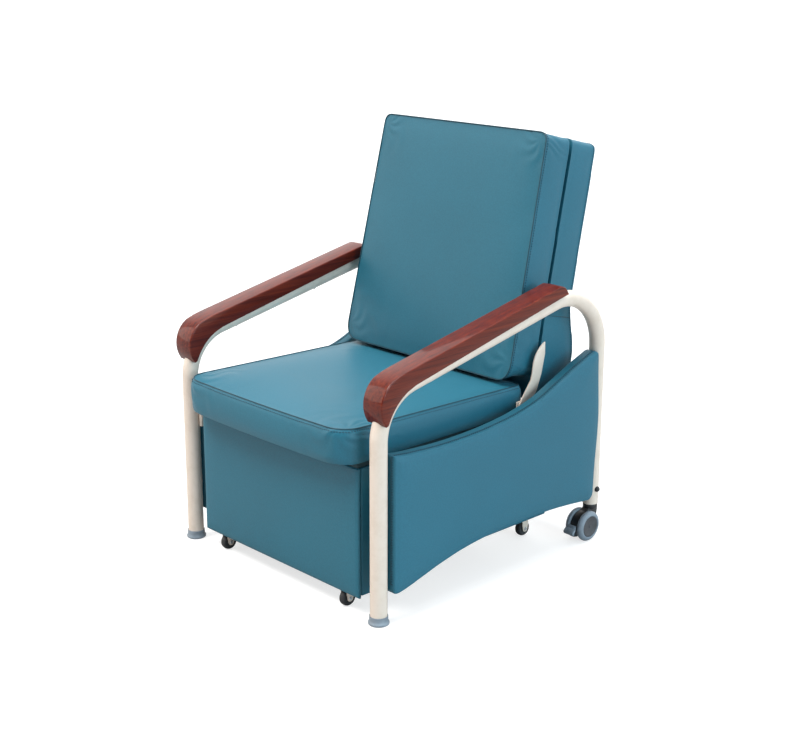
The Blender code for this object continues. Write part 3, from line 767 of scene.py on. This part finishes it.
def back_form(name, low, high, corner_r, front_seam, rear_seam, heel=None, droop=0.0):
    """A tapered slab between a front and a rear seam, with a softly stepped front rim."""
    taper = TAPER * (high[2] - low[2])
    half_low, half_high = high[0] - CLEAR, (high[0] - CLEAR) * (1 - taper)
    low_r, high_r = corner_r
    outline = rounded_outline([(-half_low, low[2]), (half_low, low[2]), (half_high, high[2]),
                               (-half_high, high[2])], [low_r, low_r, high_r, high_r], 8)
    dense = [tuple(p[:2]) for p in resample([(a, b, 0) for a, b in outline], 0.012)]

    def at(off, y):
        pts = []
        for x, z in inset(dense, off):
            back = y if heel is None or y < rear_seam - 0.001 else y + heel(z)
            sag = droop * smoothstep(-y / 0.04) * smoothstep((low[2] + 0.05 - z) / 0.05)
            pts.append((x, back, z - sag))
        return pts

    rings = [at(0.016, low[1] + 0.0030), at(0.006, low[1] + 0.0028), at(0.0004, front_seam),
             at(0.0020, front_seam + 0.010), at(0.0020, (front_seam + rear_seam) / 2),
             at(0.0020, rear_seam - 0.006), at(0.0006, rear_seam), at(0.010, rear_seam + 0.0018)]
    form = loft(name, rings)
    return form, at(0.0002, front_seam), at(0.0006, rear_seam)


def back_cushion():
    world = leaning(FOLD)
    low, high = node_span("back_cushion", world)
    high[1] = node_span("back_board", world)[1][1] - BOARD_GAP
    form, front, rear = back_form("back_cushion_cover", low, high, (0.034, 0.014), low[1] + 0.0035,
                                  high[1] - 0.002, droop=0.008)

    def reach(co, n):
        ahead = np.clip(-n[:, 1], 0, 1)
        flat = np.clip(1 - np.abs(n[:, 1]), 0, 1)
        return 0.0075 * ahead + 0.0030 * flat + 0.0003

    def keep_in(co):
        co[:, 1] = np.minimum(co[:, 1], high[1])
        return co

    return Cushion("back", form, [front, rear], reach, keep_in, world)


def rear_pad():
    world = leaning(RECLINE)
    low, high = node_span("rear_pad", world)
    rear_face = node_span("rear_pad_board", world)[1][1] - BOARD_GAP

    def heel(z):
        """How far the thick lower end stands out behind the pad's upper part."""
        step = (high[1] - rear_face) * (1 - smoothstep((z - HEEL_TOP + HEEL_REACH) / HEEL_REACH))
        return step - 0.022 * max(0.0, 1 - (z - low[2]) / 0.045) ** 2

    form, front, rear = back_form("rear_pad_cover", low, (high[0], rear_face, high[2]), (0.020, 0.014),
                                  low[1] + 0.0025, rear_face - 0.003, heel)

    def reach(co, n):
        flat = np.clip(1 - np.abs(n[:, 1]), 0, 1)
        rearward = np.clip(n[:, 1], 0, 1) * (co[:, 2] < 0.27)
        return 0.004 * np.clip(-n[:, 1], 0, 1) + 0.0028 * flat + 0.004 * rearward + 0.0003

    def keep_in(co):
        upper = co[:, 2] > 0.315
        co[upper, 1] = np.minimum(co[upper, 1], rear_face)
        co[:, 1] = np.maximum(co[:, 1], low[1] + 0.0005)
        return co

    return Cushion("rear", form, [front, rear], reach, keep_in, world)


def sewn_cushions():
    seat, back, rear = seat_cushion(), back_cushion(), rear_pad()
    cushions = [seat, back, rear]
    swell(cushions)
    for c in cushions:
        settle(c)

    corners = [((s * 0.262, SEAT_LOW.y + 0.03, 0.43), 0.10, 9, s) for s in (1, -1)]
    corners += [((s * 0.275, depth(0.49), 0.425), 0.09, 8, 1.7 * s) for s in (1, -1)]
    ripple(seat.form, corners, 0.0008)
    low, high = node_span("back_cushion", back.world)
    ripple(back.form, [((s * 0.27, low[1], low[2] + 0.03), 0.12, 8, s + 0.6) for s in (1, -1)]
           + [((s * 0.25, low[1], high[2] - 0.02), 0.07, 8, s + 2.1) for s in (1, -1)], 0.0007)

    dress(seat, "seat_unit", "seat_cushion", axis=2, beside=-0.0075)
    dress(back, "back_section", "back_cushion", axis=1, beside=0.0075)
    tree = dress(rear, "rear_section", "rear_pad", axis=1, beside=0.0075, piped=False)
    rear_pad_rows(rear, tree)
    board_lining("back_board_lining", back, "back_board", "back_section", 0.010)
    board_lining("rear_pad_lining", rear, "rear_pad_board", "rear_section", 0.008)


def dress(cushion, body, node, axis, beside, piped=True):
    """Lays the welt along the front seam and a row of stitches beside it; the welt's darker vinyl is painted
    shade.
    """
    obj, world = cushion.form, cushion.world
    edge = cushion.seams[0]
    carve(obj, shifted(edge, axis, beside * 0.5), 0.0016, 0.0007)
    obj.data.transform(world)
    finish_piece(obj, VINYL, body, node, sharp=0)
    tree = surface_of(obj)
    if piped:
        path = [world @ Vector(p) for p in smooth_closed(resample(edge, 0.005))]
        finish_piece(tube(f"{cushion.name}_welt", path, 0.0015, 8, True), WELT_PAINTED_SHADE, body, node, False, 0)
        row = [world @ Vector(p) for p in shifted(edge, axis, beside)]
        stitches(f"{cushion.name}_stitches", row, tree, body, node)
    return tree


def shifted(path, axis, amount):
    return [tuple(v + (amount if i == axis else 0) for i, v in enumerate(p)) for p in path]


def rear_pad_rows(cushion, tree):
    """Stitches along the pad's rear edge, and the seam round its thick lower end."""
    low, high = node_span("rear_pad", cushion.world)
    row = [cushion.world @ Vector(p) for p in shifted(cushion.seams[1], 1, -0.0060)]
    stitches("rear_pad_stitches", row, tree, "rear_section", "rear_pad")
    for label, side in SIDES.items():
        x = side * high[0] * 0.985
        path = [cushion.world @ Vector((x, y, 0.2500)) for y in np.linspace(low[1] + 0.001, -0.034, 24)]
        seam(f"rear_pad_seam_{label}", path, tree, "rear_section", "rear_pad")


def board_lining(name, cushion, node, body, margin):
    """The woven lining over a cushion's board, inside the turned edge of the cover."""
    low, high = node_span(node, cushion.world)
    half_low, half_high = high[0] - margin, high[0] * 0.947 - margin
    z0, z1, rear = low[2] + 0.004, high[2] - margin, high[1]
    corners = [(-half_low, z0), (half_low, z0), (half_high, z1), (-half_high, z1)]
    outline = rounded_outline(corners, [0.010] * 4, 5)
    rings = [[(x, rear - sunk, z) for x, z in inset(outline, off)]
             for sunk, off in ((0.003, 0), (BOARD_GAP, 0), (0, 0.0008))]
    obj = loft(name, rings)
    obj.data.transform(cushion.world)
    finish_piece(obj, LINING, body, node, sharp=30)


# ---- upholstered boards

def spread(count, edge, fine=9):
    """Positions from 0 to 1 with more of them close to both ends."""
    ends = [edge * (k / fine) ** 1.3 for k in range(fine)]
    return ends + list(np.linspace(edge, 1 - edge, count)) + [1 - e for e in reversed(ends)]


def field_panel(name, span, low_edge, high_edge, x_in, x_out, rim, puff, seam_at, rows, swap=False):
    """A padded board: its outer face swells between sewn edges, its inner face is flat.

    The outline runs between two edges given as functions of the long coordinate. The border is rounded by
    rim, the padding stands out by puff from seam_at inside it, and swap turns the board to face the front."""
    length = span[1] - span[0]
    us = spread(rows[0], 0.030 / length)
    lines = [(y, low_edge(y), high_edge(y)) for y in (span[0] + length * u for u in us)]
    vs = spread(rows[1], 0.030 / (sum(hi - lo for _, lo, hi in lines) / len(lines)))
    outer = [(y, lo + (hi - lo) * v) for y, lo, hi in lines for v in vs]
    nu, nv = len(us), len(vs)
    border = [i * nv for i in range(nu)] + [(nu - 1) * nv + j for j in range(1, nv)]
    border += [i * nv + nv - 1 for i in range(nu - 2, -1, -1)] + list(range(nv - 2, 0, -1))
    tree = nearest_to(resample([(*outer[i], 0) for i in border], 0.0015))
    far = distances(tree, [(y, z, 0) for y, z in outer])
    far[border] = 0
    outward = 1 if x_out > x_in else -1
    swellings = puff * (1 - np.exp(-np.maximum(0, far - seam_at) / 0.022))
    groove = 0.0010 * np.exp(-((far - seam_at) / 0.0022) ** 2)
    round_out, round_in = (np.array([rounded_off(f, r) for f in far]) for r in (rim, 0.004))
    x_face = x_out - outward * (puff + round_out - swellings + groove)
    x_back = x_in + outward * round_in
    verts = [(x, y, z) for xs in (x_face, x_back) for x, (y, z) in zip(xs, outer)]
    count = nu * nv
    faces = []
    for i in range(nu - 1):
        for a in range(i * nv, i * nv + nv - 1):
            faces.append((a, a + 1, a + nv + 1, a + nv))
            faces.append((count + a, count + a + nv, count + a + nv + 1, count + a + 1))
    faces += [(a, b, count + b, count + a) for a, b in zip(border, border[1:] + border[:1])]
    if swap:
        verts = [(y, x, z) for x, y, z in verts]
    return mesh_object(name, verts, faces)


PANEL_FRONT, PANEL_REAR = 0.0225, 0.6875     # depths of the side panel's ends


def side_top(d):
    """Height of the side panel's concave top edge at a depth."""
    known = [(PANEL_FRONT, 0.381), (0.06, 0.3765), (0.11, 0.3730), (0.16, 0.3710), (0.207, 0.3705),
             (0.26, 0.3718), (0.318, 0.3755), (0.40, 0.3855), (0.484, 0.4055), (0.558, 0.4365),
             (0.62, 0.4625), (PANEL_REAR, 0.488)]
    return curve_through(known, d) - rounded_off(PANEL_REAR - d, 0.016)


def side_bottom(d):
    """Height of its arched bottom edge."""
    known = [(PANEL_FRONT, 0.0660), (0.045, 0.0682), (0.075, 0.0750), (0.113, 0.0850), (0.164, 0.0980),
             (0.237, 0.1120), (0.324, 0.1208), (0.396, 0.1235), (0.447, 0.1240), (0.524, 0.1222),
             (0.585, 0.1180), (0.641, 0.1122), (PANEL_REAR, 0.1065)]
    return curve_through(known, d) + rounded_off(d - PANEL_FRONT, 0.010) + rounded_off(PANEL_REAR - d, 0.022)


def curve_through(known, d):
    """Catmull-Rom through known (depth, height) points."""
    last = len(known) - 1
    i = min(last - 1, max(0, next((k - 1 for k, (x, _) in enumerate(known) if x > d), last - 1)))

    def rise(a, b):
        return (known[b][1] - known[a][1]) / (known[b][0] - known[a][0])

    (x0, y0), (x1, y1) = known[i], known[i + 1]
    m0 = rise(i - 1, i + 1) if i else rise(0, 1)
    m1 = rise(i, i + 2) if i + 2 <= last else rise(i, i + 1)
    h = x1 - x0
    t = max(0.0, min(1.0, (d - x0) / h))
    return ((2 * t ** 3 - 3 * t ** 2 + 1) * y0 + (t ** 3 - 2 * t ** 2 + t) * h * m0
            + (-2 * t ** 3 + 3 * t ** 2) * y1 + (t ** 3 - t ** 2) * h * m1)


def side_panels():
    for label, side in SIDES.items():
        node = f"side_panel_{label}"
        low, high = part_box(node)
        x_in, x_out = (low.x, high.x) if side > 0 else (high.x, low.x)
        obj = field_panel(f"side_panel_cover_{label}", (low.y, high.y), lambda y: side_bottom(y - LEG.y),
                          lambda y: side_top(y - LEG.y), x_in, x_out + side * 0.001, 0.0055, 0.004, 0.006,
                          (80, 46))
        full_rear_edge(obj, high.y)
        finish_piece(obj, VINYL, "frame", node, sharp=0)
        tree = surface_of(obj)

        def edge_row(share):
            """A line along the narrow edge faces, at a share of the panel's thickness."""
            x = x_in + (x_out - x_in) * share
            front = np.linspace(side_bottom(PANEL_FRONT) + 0.012, side_top(PANEL_FRONT) - 0.004, 60)
            back = np.linspace(side_top(PANEL_REAR) - 0.006, 0.150, 60)
            top = np.linspace(0.027, 0.676, 80)
            return ([(x, low.y, z) for z in front] + [(x, depth(d), side_top(d)) for d in top]
                    + [(x, high.y, z) for z in back])

        seam(f"side_panel_seam_{label}", edge_row(0.58), tree, "frame", node)
        stitches(f"side_panel_stitches_{label}", edge_row(0.68), tree, "frame", node, closed=False)


def full_rear_edge(obj, rear):
    """Fills the padding out along the rear edge, outside the post."""
    co = coords_of(obj.data)
    for p in co:
        near = smoothstep((p[1] - rear + 0.045) / 0.045)
        outside = smoothstep((abs(p[0]) - 0.3465) / 0.007)
        p[1] += 0.0095 * near * outside * math.exp(-((p[2] - 0.315) / 0.105) ** 2)
    set_coords(obj.data, co)


def front_panel():
    low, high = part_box("front_panel")
    obj = field_panel("front_panel_cover", (low.x, high.x), lambda x: low.z, lambda x: high.z, high.y,
                      low.y - 0.0005, 0.0045, 0.0025, 0.004, (60, 34), swap=True)
    finish_piece(obj, VINYL, "seat_unit", "front_panel", sharp=0)


# ---- steel and wood

SLOPE = math.radians(12.1)
TUBE_R = 0.019
ARM_Z = 0.502                  # height of the tube's front corner
FRONT_BEND, REAR_BEND = 0.115, 0.133
ARM_END = 0.564                # depth of the armrest's rear end


def rounded_corner(before, corner, after, radius, steps):
    to_before, to_after = (before - corner).normalized(), (after - corner).normalized()
    half = to_before.angle(to_after) / 2
    centre = corner + (to_before + to_after).normalized() * radius / math.sin(half)
    start = corner + to_before * radius / math.tan(half) - centre
    end = corner + to_after * radius / math.tan(half) - centre
    turn = start.rotation_difference(end)
    return [centre + Quaternion().slerp(turn, i / steps) @ start for i in range(steps + 1)]


def side_path(x):
    rise = math.tan(SLOPE) * (POST_Y - LEG.y)
    leg, post = Vector((x, LEG.y, 0.0065)), Vector((x, POST_Y, 0.088))
    front, rear = Vector((x, LEG.y, ARM_Z)), Vector((x, POST_Y, ARM_Z + rise))
    return [leg, *rounded_corner(leg, front, rear, FRONT_BEND, 28),
            *rounded_corner(front, rear, post, REAR_BEND, 28), post]


def side_tubes(wall=0.0015, sides=40):
    """Bent tubes with an open bore at both ends."""
    for label, side in SIDES.items():
        path = side_path(side * TRACK)
        rings = rings_along(path, TUBE_R, sides) + rings_along(path, TUBE_R - wall, sides)[::-1]
        obj = loft(f"side_tube_{label}_fine", rings + rings[:1], caps=False)
        mend(obj.data, 1e-6)
        finish_piece(obj, IVORY, "frame", f"side_tube_{label}", sharp=45)


def along(line, a, b, count):
    """Evenly spaced points of a straight line, after its start."""
    return [(y, line(y)) for y in np.linspace(a, b, count)[1:]]


def arm_curves():
    """The arm's upper and lower edge lines in depth and height, from the nose's tip to the rear end."""
    tilt = 90 + math.degrees(SLOPE)
    slope = math.tan(SLOPE)
    thick = 0.0432 / math.cos(SLOPE)

    def upper_line(y):
        return ARM_Z + y * slope + thick

    low_end = ARM_Z + ARM_END * slope + 0.0175
    start = ARM_END - 0.029
    upper = arc_points((0.045, 0.4905), 0.063, 218, tilt, 26)
    upper += along(upper_line, upper[-1][0], start, 24)
    pulls = [(start, upper_line(start)), (start + 0.017, upper_line(start + 0.017)),
             (ARM_END - 0.003, low_end + 0.010), (ARM_END, low_end + 0.001)]
    for t in np.linspace(0, 1, 9)[1:]:
        w = ((1 - t) ** 3, 3 * t * (1 - t) ** 2, 3 * t * t * (1 - t), t ** 3)
        upper.append(tuple(sum(a * p[i] for a, p in zip(w, pulls)) for i in (0, 1)))
    centre = (FRONT_BEND, ARM_Z - FRONT_BEND / math.tan(math.radians(tilt) / 2))
    lower = [(-0.001, 0.4525)] + arc_points(centre, 0.1206, 158, tilt, 16)
    y0, z0 = lower[-1]
    lower += along(lambda y: z0 + (low_end - z0) * (y - y0) / (ARM_END - y0), y0, ARM_END - 0.0015, 24)
    return upper, lower


def pick(line, share):
    """The point at a share of a line's length."""
    pts = np.array(line, float)
    run = run_length(pts)
    return np.array([np.interp(share * run[-1], run, pts[:, k]) for k in (0, 1)])


def lower_share(s):
    """Matches the lower edge's pace to the upper one's round the nose."""
    return s if s > 0.3 else s * (0.82 + 0.18 * smoothstep(s / 0.3))


def arm_section(half, s, thick):
    """The arm's section as (across, up from its lower edge), with softened corners."""
    r_top, r_low = min(0.0030, thick * 0.35), min(0.0016, thick * 0.2)
    inner = half - rounded_off((1 - s) * 0.72, 0.016) * 0.8
    ring = arc_points((half - r_top, thick - r_top), r_top, 0, 90, 4) + [(0, thick + 0.0006)]
    ring += arc_points((r_top - inner, thick - r_top), r_top, 90, 180, 4)
    nick = r_low * 0.3
    ring += [(-inner, thick * 0.5), (-inner, r_low), (nick - inner, nick), (r_low - inner, 0), (0, 0)]
    return ring + [(half - r_low, 0), (half - nick, nick), (half, r_low), (half, thick * 0.5)]


def armrests():
    upper, lower = arm_curves()
    shares = sorted({*np.linspace(0, 0.16, 22), *np.linspace(0.16, 0.94, 24), *np.linspace(0.94, 1, 12)})
    low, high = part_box("armrest_left")
    half = (high.x - low.x) / 2
    for label, side in SIDES.items():
        rings = []
        for s in shares:
            v = pick(lower, lower_share(s))
            across = pick(upper, s) - v
            thick = float(np.linalg.norm(across))
            up = across / max(thick, 1e-9)
            rings.append([(side * (TRACK + a), depth(v[0] + up[0] * b), v[1] + up[1] * b)
                          for a, b in arm_section(half, s, thick)])
        wood = loft(f"armrest_{label}_fine", rings)
        groove = tube(f"groove_{label}", side_path(side * TRACK), TUBE_R + 0.0003, 40)
        modifier(wood, "groove", "BOOLEAN", operation="DIFFERENCE", object=groove)
        apply_modifiers(wood)
        bpy.data.objects.remove(groove, do_unlink=True)
        finish_piece(wood, WOOD, "frame", f"armrest_{label}", sharp=35)


def feet():
    profile = [(0, 0.006), (0.0193, 0.006), (0.0193, 0.0195), (0.0200, 0.0203), (0.0207, 0.0198),
               (0.0208, 0.012), (0.0211, 0.0095), (0.0222, 0.0072), (0.0233, 0.0055), (0.0235, 0.0035),
               (0.0230, 0.0015), (0.0215, 0.0004), (0.020, 0), (0, 0)]
    for label, side in SIDES.items():
        obj = lathe(f"foot_{label}_fine", profile, 48, (side * TRACK, LEG.y, 0))
        finish_piece(obj, GREY_RUBBER, "frame", f"foot_{label}", sharp=50)


def outward(side):
    return "X" if side > 0 else "-X"


def bolt_caps():
    for label, side in SIDES.items():
        at = centre_of(f"bolt_cap_{label}")
        base = side * (TRACK + TUBE_R + 0.0002)
        profile = [(0, 0.0068), (0.0022, 0.0066), (0.0042, 0.0056), (0.0056, 0.0038), (0.0066, 0.0028),
                   (0.0070, 0.0012), (0.0070, -0.0008), (0, -0.0008)]
        obj = lathe(f"bolt_cap_{label}_fine", profile, 32, (base, at.y, at.z), outward(side))
        finish_piece(obj, BLACK, "frame", f"bolt_cap_{label}")


# ---- wheels

CASTER = centre_of("caster_wheel_left_outer")


def caster_wheel(node, way):
    at = centre_of(node)
    r, half, rim, pin = at.z, 0.0073, 0.0262, 0.0043
    tyre = [(rim, half - 0.0012), (0.0270, half), (0.0298, half + 0.0002), (0.0328, half - 0.0012),
            (0.0354, half - 0.0034), (0.0369, half - 0.0058), (r, 0.0005), (r, -0.0040), (0.0368, -0.0060),
            (0.0350, -half), (rim, -half)]
    hub = [(0, half - 0.0010), (0.0030, half - 0.0010), (0.0038, half - 0.0020), (0.0205, half - 0.0014),
           (0.0220, half - 0.0006), (0.0252, half - 0.0006), (rim, half - 0.0020), (rim, 0.0006 - half),
           (pin, 0.0006 - half), (pin, half - 0.0060), (0, half - 0.0060)]
    join_piece(f"{node}_fine", node, node, [(lathe("tyre", tyre, 64, at, outward(way)), GREY_RUBBER),
                                            (lathe("hub", hub, 64, at, outward(way)), HUB_GREY)], sharp=38)


def caster_parts():
    r, y = CASTER.z, CASTER.y
    hood = arc_points((y, r), 0.0338, 200, 88, 22)
    hood += [(y + 0.010, r + 0.0392), (y + 0.014, r + 0.0440), (POST_Y + 0.0150, r + 0.0440),
             (POST_Y + 0.0165, r + 0.0400), (POST_Y + 0.0160, r + 0.030), (POST_Y + 0.0140, r + 0.020),
             (y + 0.034, r + 0.002), (y + 0.030, r - 0.010), (y + 0.010, r - 0.012), (y - 0.010, r - 0.012)]
    collar = [(0, 0.1175), (0.0160, 0.1175), (0.0165, 0.116), (0.0165, 0.0874), (0.0172, 0.0868),
              (0.0176, 0.0856), (0.0176, 0.0768), (0.0166, 0.0752), (0.0150, 0.0745), (0, 0.0745)]
    for label, side in SIDES.items():
        for which, way in (("outer", side), ("inner", -side)):
            caster_wheel(f"caster_wheel_{label}_{which}", way)
        x = side * TRACK
        join_piece(f"caster_hood_{label}", f"caster_{label}", f"caster_housing_{label}",
                   [(prism("hood", hood, x, 0.0107, 0.0022, 3), BLACK),
                    (lathe("stem", collar, 40, (x, POST_Y, 0)), BLACK),
                    (tube("axle", [(x - 0.0215, y, r), (x + 0.0215, y, r)], 0.0038, 16), ZINC)])
        pedal(label, x)


def pedal(label, x):
    """The tread of the wheel brake, wider than its arm, with a turned-down lip."""
    node = f"brake_pedal_{label}"
    low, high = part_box(node)
    top, y1, y0 = high.z, high.y, low.y
    arm = [(y1, top - 0.001), (y1 - 0.005, top), (y0 + 0.009, top - 0.010), (y0 + 0.009, top - 0.0155),
           (y1 - 0.004, top - 0.0095), (y1, top - 0.0085)]
    tread = [(y0 + 0.0115, top - 0.0060), (y0 + 0.0085, top - 0.0052), (y0 + 0.0005, top - 0.0128),
             (y0, top - 0.0165), (y0 + 0.0030, top - 0.0212), (y0 + 0.0066, top - 0.0204),
             (y0 + 0.0068, top - 0.0160), (y0 + 0.0115, top - 0.0112)]
    join_piece(f"{node}_fine", node, node, [(prism("arm", arm, x, 0.0100, 0.0012), GREY_RUBBER),
                                            (prism("tread", tread, x, 0.0150, 0.0016, 3), GREY_RUBBER)])


def small_wheels():
    for end in ("front", "rear"):
        for label in SIDES:
            node = f"small_wheel_{end}_{label}"
            at = centre_of(node)
            half = [(0.0034, 0.0078), (0.0085, 0.0078), (0.0092, 0.0068), (0.0140, 0.0068), (0.0150, 0.0078),
                    (0.0168, 0.0078), (at.z - 0.0009, 0.0058), (at.z, 0.0030)]
            profile = half + [(r, -h) for r, h in reversed(half)]
            finish_piece(lathe(f"{node}_fine", profile, 48, at, "X"), TYRE, node, node)
            small_fork(f"small_fork_{end}_{label}", at)


def small_fork(node, at):
    """Two rounded cheeks under a bent top plate, with the bolt that carries the wheel."""
    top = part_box(node)[1].z
    reach = 0.0104
    cheek = [(at.y + a, at.z + b) for a, b in arc_points((0, 0), 0.0080, 190, 350, 12) + [(reach, 0.011)]]
    cheek += [(at.y + reach, top - 0.0012), (at.y - reach, top - 0.0012), (at.y - reach, at.z + 0.011)]
    head = [(0, 0.0128), (0.0040, 0.0128), (0.0048, 0.0120), (0.0048, 0.0110), (0, 0.0110)]
    parts = []
    for s, sides in ((1, 6), (-1, 24)):
        parts.append((prism("cheek", cheek, at.x + s * 0.0100, 0.0010, 0.0004, 1), IVORY))
        parts.append((lathe("bolt", head, sides, at, outward(s)), BRIGHT))
    plate = [(at.y + way * reach, z) for z, ways in ((top - 0.0022, (-1, 1)), (top, (1, -1))) for way in ways]
    parts.append((prism("top", plate, at.x, 0.0109, 0.0004, 1), IVORY))
    ends = [(at.x + way * 0.0112, at.y, at.z) for way in (-1, 1)]
    parts.append((tube("pin", ends, 0.0029, 16), BRIGHT))
    join_piece(f"{node}_fine", "seat_unit", node, parts)


# ---- CAD pieces that stay

def dress_nodes():
    looks = {
        IVORY: ["upper_rail", "slide_channel", "rear_cross_tube", "hinge_tube", "support_tube", "base_rail",
                "base_cross_rail", "hinge_lug", "link_plate", "pad_bracket"],
        ZINC: ["armrest_screw", "hinge_pin", "runner"],
        LINING: ["seat_board", "seat_rear_board", "back_board", "rear_pad_board"],
        VINYL: ["seat_side_board"],
    }
    round_ones = ("rear_cross_tube", "hinge_tube", "support_tube", "armrest_screw", "hinge_pin")
    for mat, starts in looks.items():
        for name, obj in NODES.items():
            if not any(name == s or name.startswith((s + "_l", s + "_r")) for s in starts):
                continue
            paint(obj, mat)
            modifier(obj, "weld", "WELD", merge_threshold=0.00002)
            if not name.startswith(round_ones):
                round_rims(obj, 0.0020 if mat in (LINING, VINYL) else 0.0006, 2)
            obj.data.shade_smooth()
            obj.data.set_sharp_from_angle(angle=math.radians(40))


# ---- stage, light, camera

def studio():
    look = Finish("studio_floor")
    mottle = look.pattern("Noise", look.coords(), scale=3.0, detail=3.0)
    seen_directly = look.node("ShaderNodeLightPath").outputs["Is Camera Ray"]
    look.set(Base_Color=look.ramp(mottle, (0.3, (0.400,) * 3), (0.7, (0.406,) * 3)), Roughness=0.9,
             Specular_IOR_Level=0.1, Emission_Color=(1, 1, 1, 1),
             Emission_Strength=look.remap(seen_directly, 0.0, 0.70))
    reach = 90
    corners = [(-reach, -reach, 0), (reach, -reach, 0), (reach, reach, 0), (-reach, reach, 0)]
    paint(mesh_object("floor", corners, [(0, 1, 2, 3)]), look.mat)
    world_light((0.55, 0.55, 0.55), (((0, -1, 0.0), -0.55, WHITE), ((1, 0, 0.25), 0.22, (0.60, 1.0, 1.45)),
                                     ((-0.6, 0.8, 0.2), 1.00, WHITE)))
    sun("overhead", (0.0, 0.0, 1.0), 42, 1.6, WHITE)
    sun("front_above", (-0.15, -0.50, 1.0), 24, 2.6, (1.0, 0.98, 0.93))
    sun("far_side", (-0.75, -0.70, 0.42), 44, 0.95, (1.0, 0.96, 0.90))
    sun("near_side", (1.0, 0.10, 0.30), 40, 1.75, (0.66, 0.91, 1.0))


def world_light(ambient, lobes):
    """An even sky, brighter or darker towards some directions."""
    world = bpy.data.worlds.new("studio")
    bpy.context.scene.world = world
    world.use_nodes = True
    tree = world.node_tree

    def vector_math(operation, first):
        node = tree.nodes.new("ShaderNodeVectorMath")
        node.operation = operation
        if isinstance(first, bpy.types.NodeSocket):
            tree.links.new(first, node.inputs[0])
        else:
            node.inputs[0].default_value = first
        return node

    directions = tree.nodes.new("ShaderNodeTexCoord").outputs["Generated"]
    total = ambient
    for towards, strength, color in lobes:
        dot = vector_math("DOT_PRODUCT", directions)
        dot.inputs[1].default_value = Vector(towards).normalized()
        share = tree.nodes.new("ShaderNodeMapRange")
        share.inputs["To Max"].default_value = strength
        tree.links.new(dot.outputs["Value"], share.inputs["Value"])
        scaled = vector_math("SCALE", color)
        tree.links.new(share.outputs["Result"], scaled.inputs["Scale"])
        add = vector_math("ADD", total)
        tree.links.new(scaled.outputs["Vector"], add.inputs[1])
        total = add.outputs["Vector"]
    tree.links.new(total, tree.nodes["Background"].inputs["Color"])


def sun(name, towards, spread, power, color):
    light = bpy.data.lights.new(name, "SUN")
    light.energy = power
    light.angle = math.radians(spread)
    light.color = color
    obj = in_scene(name, light)
    obj.rotation_mode = "QUATERNION"
    obj.rotation_quaternion = (-Vector(towards)).to_track_quat("-Z", "Y")


def camera():
    data = bpy.data.cameras.new("camera")
    data.sensor_width = 36
    data.lens = 64.6758
    data.clip_end = 60
    azimuth, elevation, roll = (math.radians(a) for a in (46.22, 16.41, 0.20))
    forward = Vector((-math.sin(azimuth) * math.cos(elevation), math.cos(azimuth) * math.cos(elevation),
                      -math.sin(elevation)))
    obj = in_scene("camera", data)
    obj.rotation_mode = "QUATERNION"
    obj.rotation_quaternion = forward.to_track_quat("-Z", "Y") @ Quaternion((0, 0, 1), roll)
    obj.location = (2.3907, LEG.y - 1.9140, 1.3910)
    bpy.context.scene.camera = obj


def main():
    sewn_cushions()
    side_panels()
    front_panel()
    side_tubes()
    armrests()
    feet()
    bolt_caps()
    caster_parts()
    small_wheels()
    dress_nodes()
    studio()
    camera()
    bpy.context.scene.view_settings.view_transform = "Standard"
    bpy.context.view_layer.update()


main()
